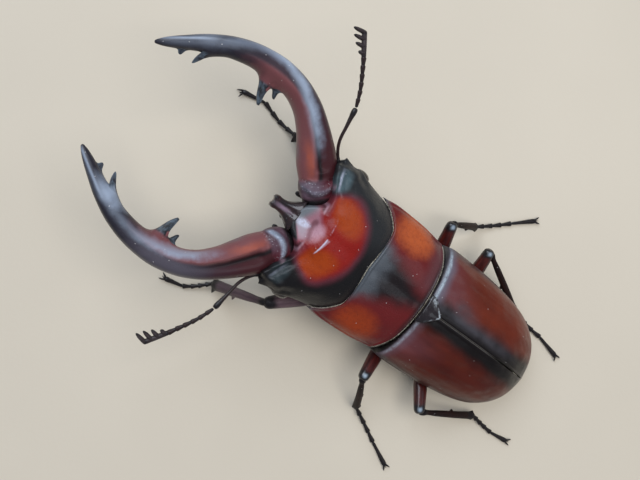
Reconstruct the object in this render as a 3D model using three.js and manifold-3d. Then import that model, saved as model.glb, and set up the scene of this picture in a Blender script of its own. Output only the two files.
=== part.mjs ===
// A male stag beetle, life size, standing with its front raised and its jaws wide open.
// Millimetres, +Z up. The head faces -Y and the beetle's own left side is +X.
//
// The trunk, head, jaws and feelers are drawn level, in a body frame whose origin is the middle
// of the joint between pronotum and wing cases, and then pitched up together. The legs are drawn
// straight in the floor's frame, because their feet lie on the floor.

import * as THREE from 'three';
import { mergeVertices } from 'three/addons/utils/BufferGeometryUtils.js';
import Module from 'manifold-3d';

const wasm = await Module();
wasm.setup();

// ---------------------------------------------------------------------------------------------
// Driving dimensions
// ---------------------------------------------------------------------------------------------

const PITCH = THREE.MathUtils.degToRad(14);   // how far the front of the body is raised
const BODY_HEIGHT = 11.2;                     // body frame's origin above the floor
const ORIGIN_SHIFT_X = -0.13;                  // these two bring the middle of the whole
const ORIGIN_SHIFT_Y = 9.70;                  // beetle's footprint to the part's origin
const GAP = 0.3;                              // clearance between neighbouring pieces

const HEAD = {
  frontY: -25.0,
  canthusX: 11.5,
  ridgeY: -20.2,
  crownZ: 4.5,
  steps: 14,
  rows: 9,
};

const PRONOTUM = {
  halfWidth: 11.0,
  cornerX: 10.6,
  crownZ: 4.7,
  edgeThickness: 0.6,
  steps: 12,
  rows: 6,
};

const ELYTRA = {
  baseY: 0.1,
  apexY: 27.4,
  thickness: 1.0,
  lipDepth: 1.9,
  steps: 7,
  rows: 12,
};

const ABDOMEN = { frontY: 10.9, endY: 26.6, segments: 5, sides: 14 };
const PTEROTHORAX = { frontY: 0.1, endY: 10.6, sides: 14, rows: 5 };
const PROSTERNUM = { frontY: -11.0, endY: -0.9, sides: 14, rows: 5 };

const JAW = {
  sides: 10,
  steps: 17,
  middleToothLength: 4.0,
  endToothLength: 2.8,
  pivot: [5.0, -24.1],
  turn: THREE.MathUtils.degToRad(1.2),   // both jaws swing a little to the beetle's left
};

const EYE = { centre: [10.75, -19.6, -0.9], radii: [1.15, 1.6, 1.25] };

const FEELER = { scapeRadius: 0.29, beadRadius: 0.34, beads: 6, clubPlates: 4, plateLength: 1.35 };

const LEG = {
  coxaRadius: 1.55,
  femurRadius: 1.4,
  tibiaRadius: 0.78,
  tarsusRadius: 0.46,
  clawLength: 1.9,
  clawRadius: 0.27,
};

// Joints of each leg on the floor's frame: where the thigh leaves the hip, the knee, the ankle,
// and the bends of the foot. Every foot runs out at the height of its own half thickness.
const FOOT_Z = 0.42;
const LEGS = {
  leg_front_left: {
    coxa: [[1.6, -8.6, 8.2], [5.7, -9.6, 7.6]],
    knee: [14.0, -19.4, 11.0],
    ankle: [17.3, -27.9, 2.0],
    foot: [[19.9, -30.6, FOOT_Z], [21.5, -33.4, FOOT_Z], [21.4, -35.1, FOOT_Z]],
    scale: 1.08,
  },
  leg_front_right: {
    coxa: [[-1.6, -8.6, 8.2], [-5.7, -9.6, 7.6]],
    knee: [-10.8, -21.4, 11.2],
    ankle: [-11.8, -31.2, 2.0],
    foot: [[-12.3, -35.0, FOOT_Z], [-13.9, -40.0, FOOT_Z], [-13.7, -42.0, FOOT_Z], [-12.8, -42.8, FOOT_Z]],
    scale: 1.08,
  },
  leg_middle_left: {
    coxa: [[1.9, 2.4, 4.6], [6.0, 1.5, 4.4]],
    knee: [15.2, 1.1, 9.7],
    ankle: [20.9, 5.2, 2.0],
    foot: [[23.0, 9.1, FOOT_Z], [25.6, 13.7, FOOT_Z], [26.8, 16.1, FOOT_Z]],
    scale: 1.0,
  },
  leg_middle_right: {
    coxa: [[-1.9, 2.4, 4.6], [-6.0, 1.5, 4.4]],
    knee: [-14.2, -1.4, 9.7],
    ankle: [-17.5, 4.3, 2.0],
    foot: [[-20.2, 7.7, FOOT_Z], [-23.3, 11.1, FOOT_Z], [-25.0, 13.1, FOOT_Z]],
    scale: 1.0,
  },
  leg_hind_left: {
    coxa: [[1.4, 8.2, 3.5], [6.0, 8.6, 3.4]],
    knee: [14.7, 13.2, 7.4],
    ankle: [10.3, 23.9, 1.9],
    foot: [[10.9, 27.4, FOOT_Z], [11.2, 30.6, FOOT_Z], [10.8, 32.4, FOOT_Z]],
    scale: 1.0,
  },
  leg_hind_right: {
    coxa: [[-1.4, 8.2, 3.5], [-6.0, 8.6, 3.4]],
    knee: [-14.5, 7.2, 7.6],
    ankle: [-9.4, 18.9, 1.9],
    foot: [[-8.5, 25.0, FOOT_Z], [-8.4, 28.7, FOOT_Z], [-7.3, 30.9, FOOT_Z]],
    scale: 1.0,
  },
};

// ---------------------------------------------------------------------------------------------
// Finishes
// ---------------------------------------------------------------------------------------------

const finish = (color, roughness) =>
  new THREE.MeshStandardMaterial({ color, roughness, metalness: 0 });

const SHELL_RED = finish(0x7d2f1b, 0.3);
const SHELL_GARNET = finish(0x542320, 0.28);
const SHELL_BLACK = finish(0x171316, 0.25);
const JAW_PURPLE = finish(0x3d2a33, 0.35);
const BELLY_DARK = finish(0x2a1a19, 0.4);
const EYE_BROWN = finish(0x2b1d14, 0.2);
const LIMB_DARK = finish(0x1f181a, 0.35);

// ---------------------------------------------------------------------------------------------
// Curves and sections
// ---------------------------------------------------------------------------------------------

const { lerp } = THREE.MathUtils;
const vec = (x, y, z) => new THREE.Vector3(x, y, z);

/** A smooth curve through [place, value] stops that never overshoots between them. */
function profile(...stops) {
  const rises = stops.slice(1).map(([place, value], i) =>
    (value - stops[i][1]) / (place - stops[i][0]));
  const slopes = stops.map((stop, i) => {
    if (i === 0) return rises[0];
    if (i === rises.length) return rises[i - 1];
    const product = rises[i - 1] * rises[i];
    return product <= 0 ? 0 : (2 * product) / (rises[i - 1] + rises[i]);
  });
  return (place) => {
    if (place <= stops[0][0]) return stops[0][1];
    if (place >= stops.at(-1)[0]) return stops.at(-1)[1];
    const i = stops.findIndex((stop, k) => place < stops[k + 1][0]);
    const [x0, y0] = stops[i];
    const [x1, y1] = stops[i + 1];
    const span = x1 - x0;
    const t = (place - x0) / span;
    const smooth = t * t * (3 - 2 * t);
    const easeOut = t * (1 - t) * (1 - t);
    const easeIn = t * t * (t - 1);
    return lerp(y0, y1, smooth) + span * (slopes[i] * easeOut + slopes[i + 1] * easeIn);
  };
}

/** Bell-shaped bump that is 1 at its centre and fades over the given reach. */
const bump = (offset, reach) => Math.exp(-((offset / reach) ** 2));

/** Height of a rounded arch, 1 in the middle (u = 0) and 0 at the margins (u = -1, 1). */
const arch = (u, squareness, roundness) =>
  Math.max(0, 1 - Math.abs(u) ** squareness) ** roundness;

/** Signed power, for sections between an ellipse and a rounded box. */
const blunt = (value, power) => Math.sign(value) * Math.abs(value) ** power;

// ---------------------------------------------------------------------------------------------
// Closed bodies
// ---------------------------------------------------------------------------------------------

/** Signed volume of an indexed triangle mesh, positive where its faces point outwards. */
function signedVolume(points, triangles) {
  let total = 0;
  const cross = vec();
  for (const [a, b, c] of triangles) {
    total += points[a].dot(cross.crossVectors(points[b], points[c])) / 6;
  }
  return total;
}

/** An indexed geometry from points and triangles, turned so that its faces point outwards. */
function bodyFrom(points, triangles) {
  const inward = signedVolume(points, triangles) < 0;
  const index = triangles.flatMap(([a, b, c]) => (inward ? [a, c, b] : [a, b, c]));
  const geometry = new THREE.BufferGeometry().setFromPoints(points);
  geometry.setIndex(index);
  return geometry;
}

/** Skins a row of equal rings; each end is closed by a fan around its middle. */
function loft(rings) {
  const count = rings[0].length;
  const points = rings.flat();
  const triangles = [];
  for (let row = 0; row < rings.length - 1; row += 1) {
    for (let i = 0; i < count; i += 1) {
      const a = row * count + i;
      const b = row * count + ((i + 1) % count);
      triangles.push([a, b, a + count], [b, b + count, a + count]);
    }
  }
  const close = (row, flip) => {
    const middle = points.length;
    const centre = vec();
    rings[row].forEach((point) => centre.add(point));
    points.push(centre.divideScalar(count));
    for (let i = 0; i < count; i += 1) {
      const a = row * count + i;
      const b = row * count + ((i + 1) % count);
      triangles.push(flip ? [middle, b, a] : [middle, a, b]);
    }
  };
  close(0, true);
  close(rings.length - 1, false);
  return bodyFrom(points, triangles);
}

/**
 * A plate over a grid. Place (u, v) gives each column's point, and top and under give the
 * heights of its two faces there; u runs across and v from front to back.
 */
function plate({ columns, rows, place, top, under }) {
  const width = columns.length;
  const points = [];
  for (let row = 0; row <= rows; row += 1) {
    const v = row / rows;
    for (const face of [top, under]) {
      for (const u of columns) {
        const [x, y] = place(u, v);
        points.push(vec(x, y, face(u, v)));
      }
    }
  }
  const at = (row, face, column) => (row * 2 + face) * width + column;
  const triangles = [];
  const quad = (a, b, c, d) => triangles.push([a, b, c], [a, c, d]);
  for (let row = 0; row < rows; row += 1) {
    for (let i = 0; i < width - 1; i += 1) {
      quad(at(row, 0, i), at(row, 0, i + 1), at(row + 1, 0, i + 1), at(row + 1, 0, i));
      quad(at(row, 1, i + 1), at(row, 1, i), at(row + 1, 1, i), at(row + 1, 1, i + 1));
    }
    quad(at(row, 1, 0), at(row, 0, 0), at(row + 1, 0, 0), at(row + 1, 1, 0));
    const last = width - 1;
    quad(at(row, 0, last), at(row, 1, last), at(row + 1, 1, last), at(row + 1, 0, last));
  }
  for (let i = 0; i < width - 1; i += 1) {
    quad(at(0, 0, i + 1), at(0, 0, i), at(0, 1, i), at(0, 1, i + 1));
    quad(at(rows, 0, i), at(rows, 0, i + 1), at(rows, 1, i + 1), at(rows, 1, i));
  }
  return bodyFrom(points, triangles);
}

/** Column positions from -1 to 1, closer together towards the margins. */
const acrossBoth = (steps) => Array.from({ length: steps + 1 }, (_, i) =>
  Math.sin(lerp(-Math.PI / 2, Math.PI / 2, i / steps)));

/** Column positions from 0 to 1, closer together towards the outer margin. */
const acrossHalf = (steps) => Array.from({ length: steps + 1 }, (_, i) =>
  Math.sin(lerp(0, Math.PI / 2, i / steps)));

/**
 * A limb swept along a smooth path. Width and height give its half sizes across the path and
 * upwards at t from 0 to 1, and stations lists the values of t where it has a ring.
 */
function sweep({ path, width, height = width, stations, sides, crest = 0, power = 1 }) {
  const curve = path.length > 2
    ? new THREE.CatmullRomCurve3(path.map((point) => vec(...point)), false, 'centripetal')
    : new THREE.LineCurve3(vec(...path[0]), vec(...path[1]));
  const up = vec(0, 0, 1);
  return loft(stations.map((t) => {
    const centre = curve.getPointAt(t);
    const along = curve.getTangentAt(t);
    const side = vec().crossVectors(along, up).normalize();
    const rise = vec().crossVectors(side, along);
    return Array.from({ length: sides }, (_, i) => {
      const turn = ((i + 0.5) / sides) * Math.PI * 2;
      const ridge = 1 + crest * bump(turn - Math.PI / 2, 0.45);
      return centre.clone()
        .addScaledVector(side, width(t) * blunt(Math.cos(turn), power))
        .addScaledVector(rise, height(t) * ridge * blunt(Math.sin(turn), power));
    });
  }));
}

const evenly = (steps) => Array.from({ length: steps + 1 }, (_, i) => i / steps);

/** A curved spike from a root to a tip, bowed by the given offset in its middle. */
function spike(root, tip, radius, bow = [0, 0, 0], sides = 5) {
  const middle = root.map((value, i) => (value + tip[i]) / 2 + bow[i]);
  const thin = profile([0, radius], [0.6, radius * 0.6], [1, radius * 0.12]);
  return sweep({ path: [root, middle, tip], width: thin, stations: [0, 0.5, 1], sides });
}

/** The point a given distance from one point towards another. */
const toward = (from, to, distance) => {
  const start = vec(...from);
  return start.add(vec(...to).sub(start).setLength(distance)).toArray();
};

/** An ellipsoid about a centre. */
function ellipsoid([x, y, z], [rx, ry, rz], across = 8, down = 6) {
  const geometry = new THREE.SphereGeometry(1, across, down);
  geometry.scale(rx, ry, rz);
  geometry.translate(x, y, z);
  return geometry;
}

// ---------------------------------------------------------------------------------------------
// Joining and cutting
// ---------------------------------------------------------------------------------------------

function toSolid(geometry) {
  const bare = geometry.clone();
  bare.deleteAttribute('normal');
  bare.deleteAttribute('uv');
  const welded = mergeVertices(bare, 1e-4);
  return new wasm.Manifold(new wasm.Mesh({
    numProp: 3,
    vertProperties: new Float32Array(welded.attributes.position.array),
    triVerts: new Uint32Array(welded.index.array),
  }));
}

function toGeometry(solid) {
  const mesh = solid.getMesh();
  const geometry = new THREE.BufferGeometry();
  geometry.setAttribute('position', new THREE.BufferAttribute(mesh.vertProperties, 3));
  geometry.setIndex(new THREE.BufferAttribute(mesh.triVerts, 1));
  return geometry;
}

const joined = (...parts) =>
  toGeometry(parts.map(toSolid).reduce((whole, part) => whole.add(part)));

const cutBy = (body, ...cutters) =>
  toGeometry(cutters.map(toSolid).reduce((rest, cutter) => rest.subtract(cutter), toSolid(body)));

/** The same body on the other side of the middle plane, still facing outwards. */
function mirrored(geometry) {
  const copy = geometry.clone();
  copy.scale(-1, 1, 1);
  const { array } = copy.index;
  for (let i = 0; i < array.length; i += 3) {
    [array[i + 1], array[i + 2]] = [array[i + 2], array[i + 1]];
  }
  return copy;
}

// ---------------------------------------------------------------------------------------------
// Scene graph
// ---------------------------------------------------------------------------------------------

const beetle = new THREE.Group();
const trunk = new THREE.Group();
const limbs = new THREE.Group();
trunk.rotation.x = -PITCH;
trunk.position.set(ORIGIN_SHIFT_X, ORIGIN_SHIFT_Y, BODY_HEIGHT);
limbs.position.set(ORIGIN_SHIFT_X, ORIGIN_SHIFT_Y, 0);
beetle.add(trunk, limbs);

function addPiece(group, name, geometry, material) {
  const mesh = new THREE.Mesh(geometry, material);
  mesh.name = name;
  group.add(mesh);
}

/** Adds a left piece as drawn and its mirror image as the right one. */
function addPair(group, name, geometry, material) {
  addPiece(group, `${name}_left`, geometry, material);
  addPiece(group, `${name}_right`, mirrored(geometry), material);
}

/** A floor-frame point in the body frame, for cutting hip sockets in the trunk. */
function toTrunk([x, y, z]) {
  const sin = Math.sin(PITCH);
  const cos = Math.cos(PITCH);
  const lift = z - BODY_HEIGHT;
  return [x, y * cos - lift * sin, y * sin + lift * cos];
}

// ---------------------------------------------------------------------------------------------
// Pronotum
// ---------------------------------------------------------------------------------------------

const pronotumHalfWidth = profile(
  [0, PRONOTUM.cornerX], [0.25, PRONOTUM.halfWidth], [0.6, 10.9], [1, 10.3]);
const pronotumFront = profile([0, -11.3], [0.35, -11.0], [0.62, -10.9], [0.84, -12.2], [1, -14.3]);
const pronotumBack = profile([0, -0.25], [0.6, -0.6], [1, -1.6]);
const pronotumEdgeZ = profile([0, -1.15], [1, -0.4]);
const pronotumCrownZ = profile([0, 3.4], [0.35, 4.3], [0.7, PRONOTUM.crownZ], [1, 4.5]);

const pronotumPlace = (u, v) => [
  u * pronotumHalfWidth(v),
  lerp(pronotumFront(Math.abs(u)), pronotumBack(Math.abs(u)), v),
];

const pronotumTop = (u, v) =>
  lerp(pronotumEdgeZ(v), pronotumCrownZ(v), arch(u, 2.3, 0.62));

const pronotum = plate({
  columns: acrossBoth(PRONOTUM.steps),
  rows: PRONOTUM.rows,
  place: pronotumPlace,
  top: pronotumTop,
  under: (u, v) => pronotumEdgeZ(v) - PRONOTUM.edgeThickness - 0.2 * arch(u, 2, 1),
});
addPiece(trunk, 'pronotum', pronotum, SHELL_RED);

// ---------------------------------------------------------------------------------------------
// Head, with its sharp cheek corners, cross ridge and hollow brow
// ---------------------------------------------------------------------------------------------

const headHalfWidth = profile(
  [0, HEAD.canthusX], [0.1, 11.35], [0.3, 11.4], [0.45, 10.9], [0.7, 10.1], [1, 9.4]);
const headFront = profile(
  [0, HEAD.frontY], [0.3, -24.6], [0.55, -23.3], [0.74, -22.1], [0.88, -22.2], [1, -23.3]);
const headBackZ = profile([0, 3.0], [1, -1.4]);
const headEdgeZ = profile([0, 0.6], [0.3, 0.45], [0.7, -0.5], [1, -1.4]);
const headCrownZ = profile([0, 2.3], [0.33, 4.0], [0.6, HEAD.crownZ], [0.82, 4.1], [1, headBackZ(0)]);
const headDepth = profile([0, 2.4], [0.3, 3.5], [1, 3.6]);

const headPlace = (u, v) => {
  const x = u * headHalfWidth(v);
  const back = pronotumFront(Math.abs(x) / PRONOTUM.cornerX) - GAP;
  return [x, lerp(headFront(Math.abs(u)), back, v)];
};

const headTop = (u, v) => {
  const [x, y] = headPlace(u, v);
  const dome = lerp(headEdgeZ(v), headCrownZ(v), arch(u, 2.8, 0.66));
  const hollow = 1.9 * bump(x, 3.4) * bump(y - HEAD.frontY - 0.6, 2.6);
  const ridge = 0.4 * Math.exp(-((x / 2.8) ** 4)) * bump(y - HEAD.ridgeY, 0.6);
  const cheek = 0.75 * bump(Math.abs(x) - 10.1, 0.8) * bump(y + 21.9, 1.3);
  return dome - hollow + ridge + cheek;
};

const headShape = plate({
  columns: acrossBoth(HEAD.steps),
  rows: HEAD.rows,
  place: headPlace,
  top: headTop,
  under: (u, v) => headEdgeZ(v) - 0.6 - headDepth(v) * arch(u, 2.2, 0.6),
});

const eyeShape = (extra) => ellipsoid(EYE.centre, EYE.radii.map((radius) => radius + extra));

// ---------------------------------------------------------------------------------------------
// Jaws: a thick knuckle, a long bow, a forked middle tooth and two teeth behind the tip
// ---------------------------------------------------------------------------------------------

const JAW_PATH = [
  [5.0, -24.1, -0.9], [7.8, -26.3, -0.7], [10.2, -28.5, -0.3], [12.5, -31.0, 0.3],
  [14.3, -33.8, 1.0], [15.4, -37.6, 1.8], [15.4, -42.0, 2.2], [14.5, -46.0, 2.0],
  [12.8, -49.6, 1.5], [10.9, -52.5, 0.9], [8.6, -55.8, 0.2],
];
const jawHalfWidth = profile(
  [0, 2.6], [0.03, 3.4], [0.12, 3.1], [0.24, 2.75], [0.36, 2.3], [0.5, 2.1],
  [0.66, 1.75], [0.8, 1.3], [0.9, 0.95], [0.96, 0.6], [1, 0.22]);
const jawHalfHeight = profile(
  [0, 1.7], [0.03, 2.4], [0.12, 2.5], [0.3, 2.3], [0.5, 2.0], [0.7, 1.6], [0.85, 1.1],
  [0.95, 0.6], [1, 0.2]);

const jawBow = (extra) => sweep({
  path: JAW_PATH,
  width: (t) => jawHalfWidth(t) + extra,
  height: (t) => jawHalfHeight(t) + extra,
  stations: [0, 0.03, ...evenly(JAW.steps).slice(1)].sort((a, b) => a - b),
  sides: JAW.sides,
  crest: 0.1,
  power: 0.88,
});

/** A tooth pointing inwards from the bow, from its root's place, its length and its lean back. */
const tooth = ([x, y, z], length, lean, radius, sides) =>
  spike([x, y, z], [x - length, y + lean, z - 0.3], radius, [-0.1, -length * 0.12, 0.2], sides);

const middleTooth = tooth([13.7, -40.3, 1.9], JAW.middleToothLength, 0.4, 0.85, 6);
const middleToothBack = tooth([13.6, -38.0, 1.7], 1.9, -0.2, 0.5, 5);
const endTooth = tooth([12.0, -50.4, 1.3], JAW.endToothLength, -0.1, 0.8, 6);
const endToothFront = tooth([10.9, -52.1, 0.9], 1.35, -0.2, 0.45, 5);

const jaw = joined(jawBow(0), middleTooth, middleToothBack, endTooth, endToothFront);

/** A jaw drawn for the left, brought to its own side and swung about its pivot there. */
function swung(geometry, side) {
  const onLeft = side === 'left';
  const [x, y] = [onLeft ? JAW.pivot[0] : -JAW.pivot[0], JAW.pivot[1]];
  const own = onLeft ? geometry.clone() : mirrored(geometry);
  return own.translate(-x, -y, 0).rotateZ(JAW.turn).translate(x, y, 0);
}

addPiece(trunk, 'mandible_left', swung(jaw, 'left'), JAW_PURPLE);
addPiece(trunk, 'mandible_right', swung(jaw, 'right'), JAW_PURPLE);

const jawSocket = jawBow(GAP);
const eyeSocket = eyeShape(GAP);
const head = cutBy(
  headShape, swung(jawSocket, 'left'), swung(jawSocket, 'right'), eyeSocket, mirrored(eyeSocket));
addPiece(trunk, 'head', head, SHELL_RED);
addPair(trunk, 'eye', eyeShape(0), EYE_BROWN);

// ---------------------------------------------------------------------------------------------
// Clypeus, the waisted and forked lip between the jaws
// ---------------------------------------------------------------------------------------------

const clypeusHalfWidth = profile([0, 2.3], [0.3, 1.6], [0.6, 1.1], [0.85, 1.0], [1, 1.05]);
const clypeusTop = profile([0, 0.75], [0.5, 0.0], [1, -0.6]);
const clypeusNotch = 0.45;

const clypeus = plate({
  columns: [-1, -0.5, 0, 0.5, 1],
  rows: 5,
  place: (u, v) => [
    u * clypeusHalfWidth(v),
    lerp(HEAD.frontY - GAP, -29.1 + clypeusNotch * (1 - Math.abs(u)), v),
  ],
  top: (u, v) => clypeusTop(v) - 0.3 * (1 - Math.abs(u)),
  under: (u, v) => clypeusTop(v) - 1.3,
});
addPiece(trunk, 'clypeus', clypeus, SHELL_BLACK);

// ---------------------------------------------------------------------------------------------
// Wing cases and scutellum
// ---------------------------------------------------------------------------------------------

const elytraHalfWidth = profile(
  [0, 10.5], [0.06, 10.85], [0.3, 10.75], [0.55, 10.1], [0.72, 9.1], [0.86, 7.1],
  [0.94, 5.0], [0.985, 2.6], [1, 1.3]);
const elytraEdgeZ = profile([0, -0.2], [0.5, 0.0], [0.8, -0.4], [1, -1.5]);
const elytraCrownZ = profile(
  [0, 4.6], [0.12, 5.2], [0.38, 5.6], [0.6, 5.2], [0.78, 3.9], [0.9, 2.2], [1, -0.5]);

const elytraTop = (u, v) => lerp(elytraEdgeZ(v), elytraCrownZ(v), arch(u, 2.5, 0.62));

const elytronPlace = (u, v) => [
  GAP / 2 + u * (elytraHalfWidth(v) - GAP / 2),
  lerp(ELYTRA.baseY - 0.5 * u * u, ELYTRA.apexY, v),
];

/** Lower face of a wing case: a shell's thickness below its top, and a lip at its side. */
const elytronUnder = (u, v) => {
  const lip = ELYTRA.lipDepth * (1 - 0.55 * v);
  return elytraTop(u, v) - ELYTRA.thickness - (lip - ELYTRA.thickness) * u ** 10;
};

const wingCase = plate({
  columns: acrossHalf(ELYTRA.steps),
  rows: ELYTRA.rows,
  place: elytronPlace,
  top: elytraTop,
  under: elytronUnder,
});

const SCUTELLUM_LENGTH = 3.1;
const scutellumHalfWidth = profile([0, 2.3], [0.35, 1.9], [0.75, 0.8], [1, 0.2]);

const scutellumShape = (extra, lift) => plate({
  columns: [-1, 0, 1],
  rows: 4,
  place: (u, v) => [
    u * (scutellumHalfWidth(v) + extra),
    lerp(ELYTRA.baseY - extra, SCUTELLUM_LENGTH + extra, v),
  ],
  top: (u, v) => lerp(4.55, 5.2, v) - 0.25 * Math.abs(u) + lift,
  under: () => 3.1 - lift,
});

const wingCaseNotched = cutBy(wingCase, scutellumShape(GAP, 2));
addPair(trunk, 'elytron', wingCaseNotched, SHELL_GARNET);
addPiece(trunk, 'scutellum', scutellumShape(0, 0), SHELL_BLACK);

// ---------------------------------------------------------------------------------------------
// Underside: prosternum, winged thorax and abdomen
// ---------------------------------------------------------------------------------------------

/** A trunk section with a low flat roof and a rounded keel, from its sizes at one place. */
function trunkRing(y, halfWidth, roof, keel, sides) {
  const middle = lerp(roof, keel, 0.32);
  return Array.from({ length: sides }, (_, i) => {
    const turn = ((i + 0.5) / sides) * Math.PI * 2;
    const above = Math.sin(turn) > 0;
    const reach = above ? roof - middle : middle - keel;
    return vec(
      halfWidth * blunt(Math.cos(turn), above ? 0.5 : 1.1),
      y,
      middle + reach * blunt(Math.sin(turn), above ? 0.6 : 0.85));
  });
}

function trunkBody({ frontY, endY, sides }, rows, halfWidth, roof, keel) {
  return loft(evenly(rows).map((v) =>
    trunkRing(lerp(frontY, endY, v), halfWidth(v), roof(v), keel(v), sides)));
}

/** Hip of a leg in the body frame, grown by a clearance where it cuts its socket. */
function hip({ coxa, scale }, extra) {
  const size = LEG.coxaRadius * scale;
  const rounded = profile([0, size * 0.6], [0.2, size], [0.75, size * 0.9], [1, size * 0.6]);
  return sweep({
    path: coxa.map(toTrunk),
    width: (t) => rounded(t) + extra,
    height: (t) => rounded(t) * 0.9 + extra,
    stations: [0, 0.2, 0.75, 1],
    sides: 7,
  });
}

const THIGH_STATIONS = [0, 0.12, 0.4, 0.7, 0.9, 1];

/** Thigh of a leg: a flattened spindle from the hip to the knee. */
function thigh({ coxa, knee, scale }, extra, stations, frame = (point) => point) {
  const size = LEG.femurRadius * scale;
  const wide = profile([0, 0.75], [0.12, size * 0.85], [0.5, size], [0.85, size * 0.8], [1, 0.72]);
  const deep = profile(
    [0, 0.7], [0.12, size * 0.75], [0.5, size * 0.85], [0.85, size * 0.7], [1, 0.6]);
  return sweep({
    path: [toward(coxa[1], knee, 0.8), toward(knee, coxa[1], 0.9)].map(frame),
    width: (t) => wide(t) + extra,
    height: (t) => deep(t) + extra,
    stations,
    sides: 8,
  });
}

const socketsOf = (place) => ['left', 'right'].flatMap((side) => {
  const leg = LEGS[`leg_${place}_${side}`];
  return [hip(leg, GAP), thigh(leg, GAP, [0, 0.12, 0.5], toTrunk)];
});

const prosternum = trunkBody(
  PROSTERNUM, PROSTERNUM.rows,
  profile([0, 9.6], [0.3, 10.1], [0.8, 9.9], [1, 9.0]),
  (v) => pronotumEdgeZ(v) - PRONOTUM.edgeThickness - 0.2 - GAP - 0.1,
  profile([0, -4.8], [0.3, -5.9], [0.75, -6.1], [1, -5.4]));
addPiece(trunk, 'prosternum', cutBy(prosternum, ...socketsOf('front')), BELLY_DARK);

const pterothorax = trunkBody(
  PTEROTHORAX, PTEROTHORAX.rows,
  profile([0, 8.0], [0.25, 9.4], [1, 9.4]),
  profile([0, 1.0], [0.3, 1.9], [1, 2.2]),
  profile([0, -5.0], [0.25, -6.7], [0.8, -6.9], [1, -6.2]));
addPiece(
  trunk, 'pterothorax', cutBy(pterothorax, ...socketsOf('middle'), ...socketsOf('hind')), BELLY_DARK);

/** The belly steps in slightly behind each of its plates. */
const bellyStep = (v) => {
  const within = (v * ABDOMEN.segments) % 1;
  return within < 0.02 && v > 0.02 && v < 0.98 ? 0.22 : 0;
};
const abdomenHalfWidth = profile([0, 9.3], [0.4, 8.7], [0.7, 7.2], [0.9, 4.8], [1, 2.6]);
const abdomenRoof = profile([0, 2.2], [0.5, 1.5], [0.8, -0.1], [1, -2.2]);
const abdomenKeel = profile([0, -6.0], [0.4, -5.6], [0.75, -4.6], [1, -3.3]);

const abdomen = trunkBody(
  ABDOMEN, ABDOMEN.segments * 2,
  (v) => abdomenHalfWidth(v) - bellyStep(v), abdomenRoof, (v) => abdomenKeel(v) + bellyStep(v));
addPiece(trunk, 'abdomen', cutBy(abdomen, ...socketsOf('hind')), BELLY_DARK);

const mentum = plate({
  columns: [-1, -0.5, 0, 0.5, 1],
  rows: 3,
  place: (u, v) => [u * lerp(2.4, 3.4, v), lerp(-24.3, -19.4, v)],
  top: (u, v) => lerp(-3.6, -4.75, v),
  under: (u, v) => lerp(-3.6, -4.75, v) - 0.7 * arch(u, 2.4, 0.6) - 0.25,
});
addPiece(trunk, 'mentum', mentum, SHELL_BLACK);

// ---------------------------------------------------------------------------------------------
// Feelers and palps
// ---------------------------------------------------------------------------------------------

const SCAPE_PATH = [[10.2, -23.9, -0.5], [12.7, -25.9, 0.2], [15.5, -26.6, 0.6], [18.4, -27.1, 0.8]];
const scape = sweep({
  path: SCAPE_PATH,
  width: profile([0, 0.36], [0.1, 0.27], [0.6, FEELER.scapeRadius], [0.93, 0.42], [1, 0.28]),
  stations: [0, 0.12, 0.35, 0.6, 0.8, 0.93, 1],
  sides: 6,
});
addPair(trunk, 'antenna_scape', scape, LIMB_DARK);

/** Radius of a string of beads: narrow between the beads and full at their middles. */
const beaded = (t) => {
  const within = (t * FEELER.beads) % 1;
  const nearJoint = within < 0.01 || within > 0.99;
  return nearJoint ? FEELER.beadRadius * 0.76 : FEELER.beadRadius;
};

const FUNICLE_PATH = [[18.95, -27.4, 0.8], [21.2, -28.3, 0.8], [24.6, -30.3, 0.7]];
const funicle = sweep({
  path: FUNICLE_PATH,
  width: beaded,
  stations: evenly(FEELER.beads * 2),
  sides: 6,
});
addPair(trunk, 'antenna_funicle', funicle, LIMB_DARK);

const CLUB_ROOT = vec(24.9, -30.55, 0.7);
const CLUB_TIP = vec(28.3, -32.9, 0.5);
const clubStem = sweep({
  path: [CLUB_ROOT.toArray(), CLUB_TIP.toArray()],
  width: () => 0.3,
  stations: [0, 1],
  sides: 6,
});
const clubPlates = Array.from({ length: FEELER.clubPlates }, (_, i) => {
  const root = CLUB_ROOT.clone().lerp(CLUB_TIP, (i + 0.75) / FEELER.clubPlates);
  const reach = FEELER.plateLength * (1 - 0.08 * i);
  const tip = root.clone().add(vec(-0.35, -reach, 0.1));
  return sweep({
    path: [root.toArray(), tip.toArray()],
    width: profile([0, 0.3], [0.6, 0.34], [1, 0.2]),
    height: profile([0, 0.28], [0.6, 0.5], [1, 0.28]),
    stations: [0, 0.6, 1],
    sides: 4,
  });
});
addPair(trunk, 'antenna_club', joined(clubStem, ...clubPlates), LIMB_DARK);

/** A jointed palp: two segments, each a little thicker towards its end. */
const palp = (path) => sweep({
  path,
  width: profile([0, 0.28], [0.42, 0.4], [0.5, 0.28], [0.9, 0.42], [1, 0.24]),
  stations: [0, 0.42, 0.5, 0.9, 1],
  sides: 6,
});
addPair(trunk, 'palp_maxillary',
  palp([[3.2, -24.7, -4.4], [4.2, -25.9, -5.1], [4.8, -27.0, -5.0]]), LIMB_DARK);
addPair(trunk, 'palp_labial',
  palp([[1.1, -24.7, -4.6], [1.35, -25.6, -5.1], [1.6, -26.5, -5.0]]), LIMB_DARK);

// ---------------------------------------------------------------------------------------------
// Legs
// ---------------------------------------------------------------------------------------------

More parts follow.
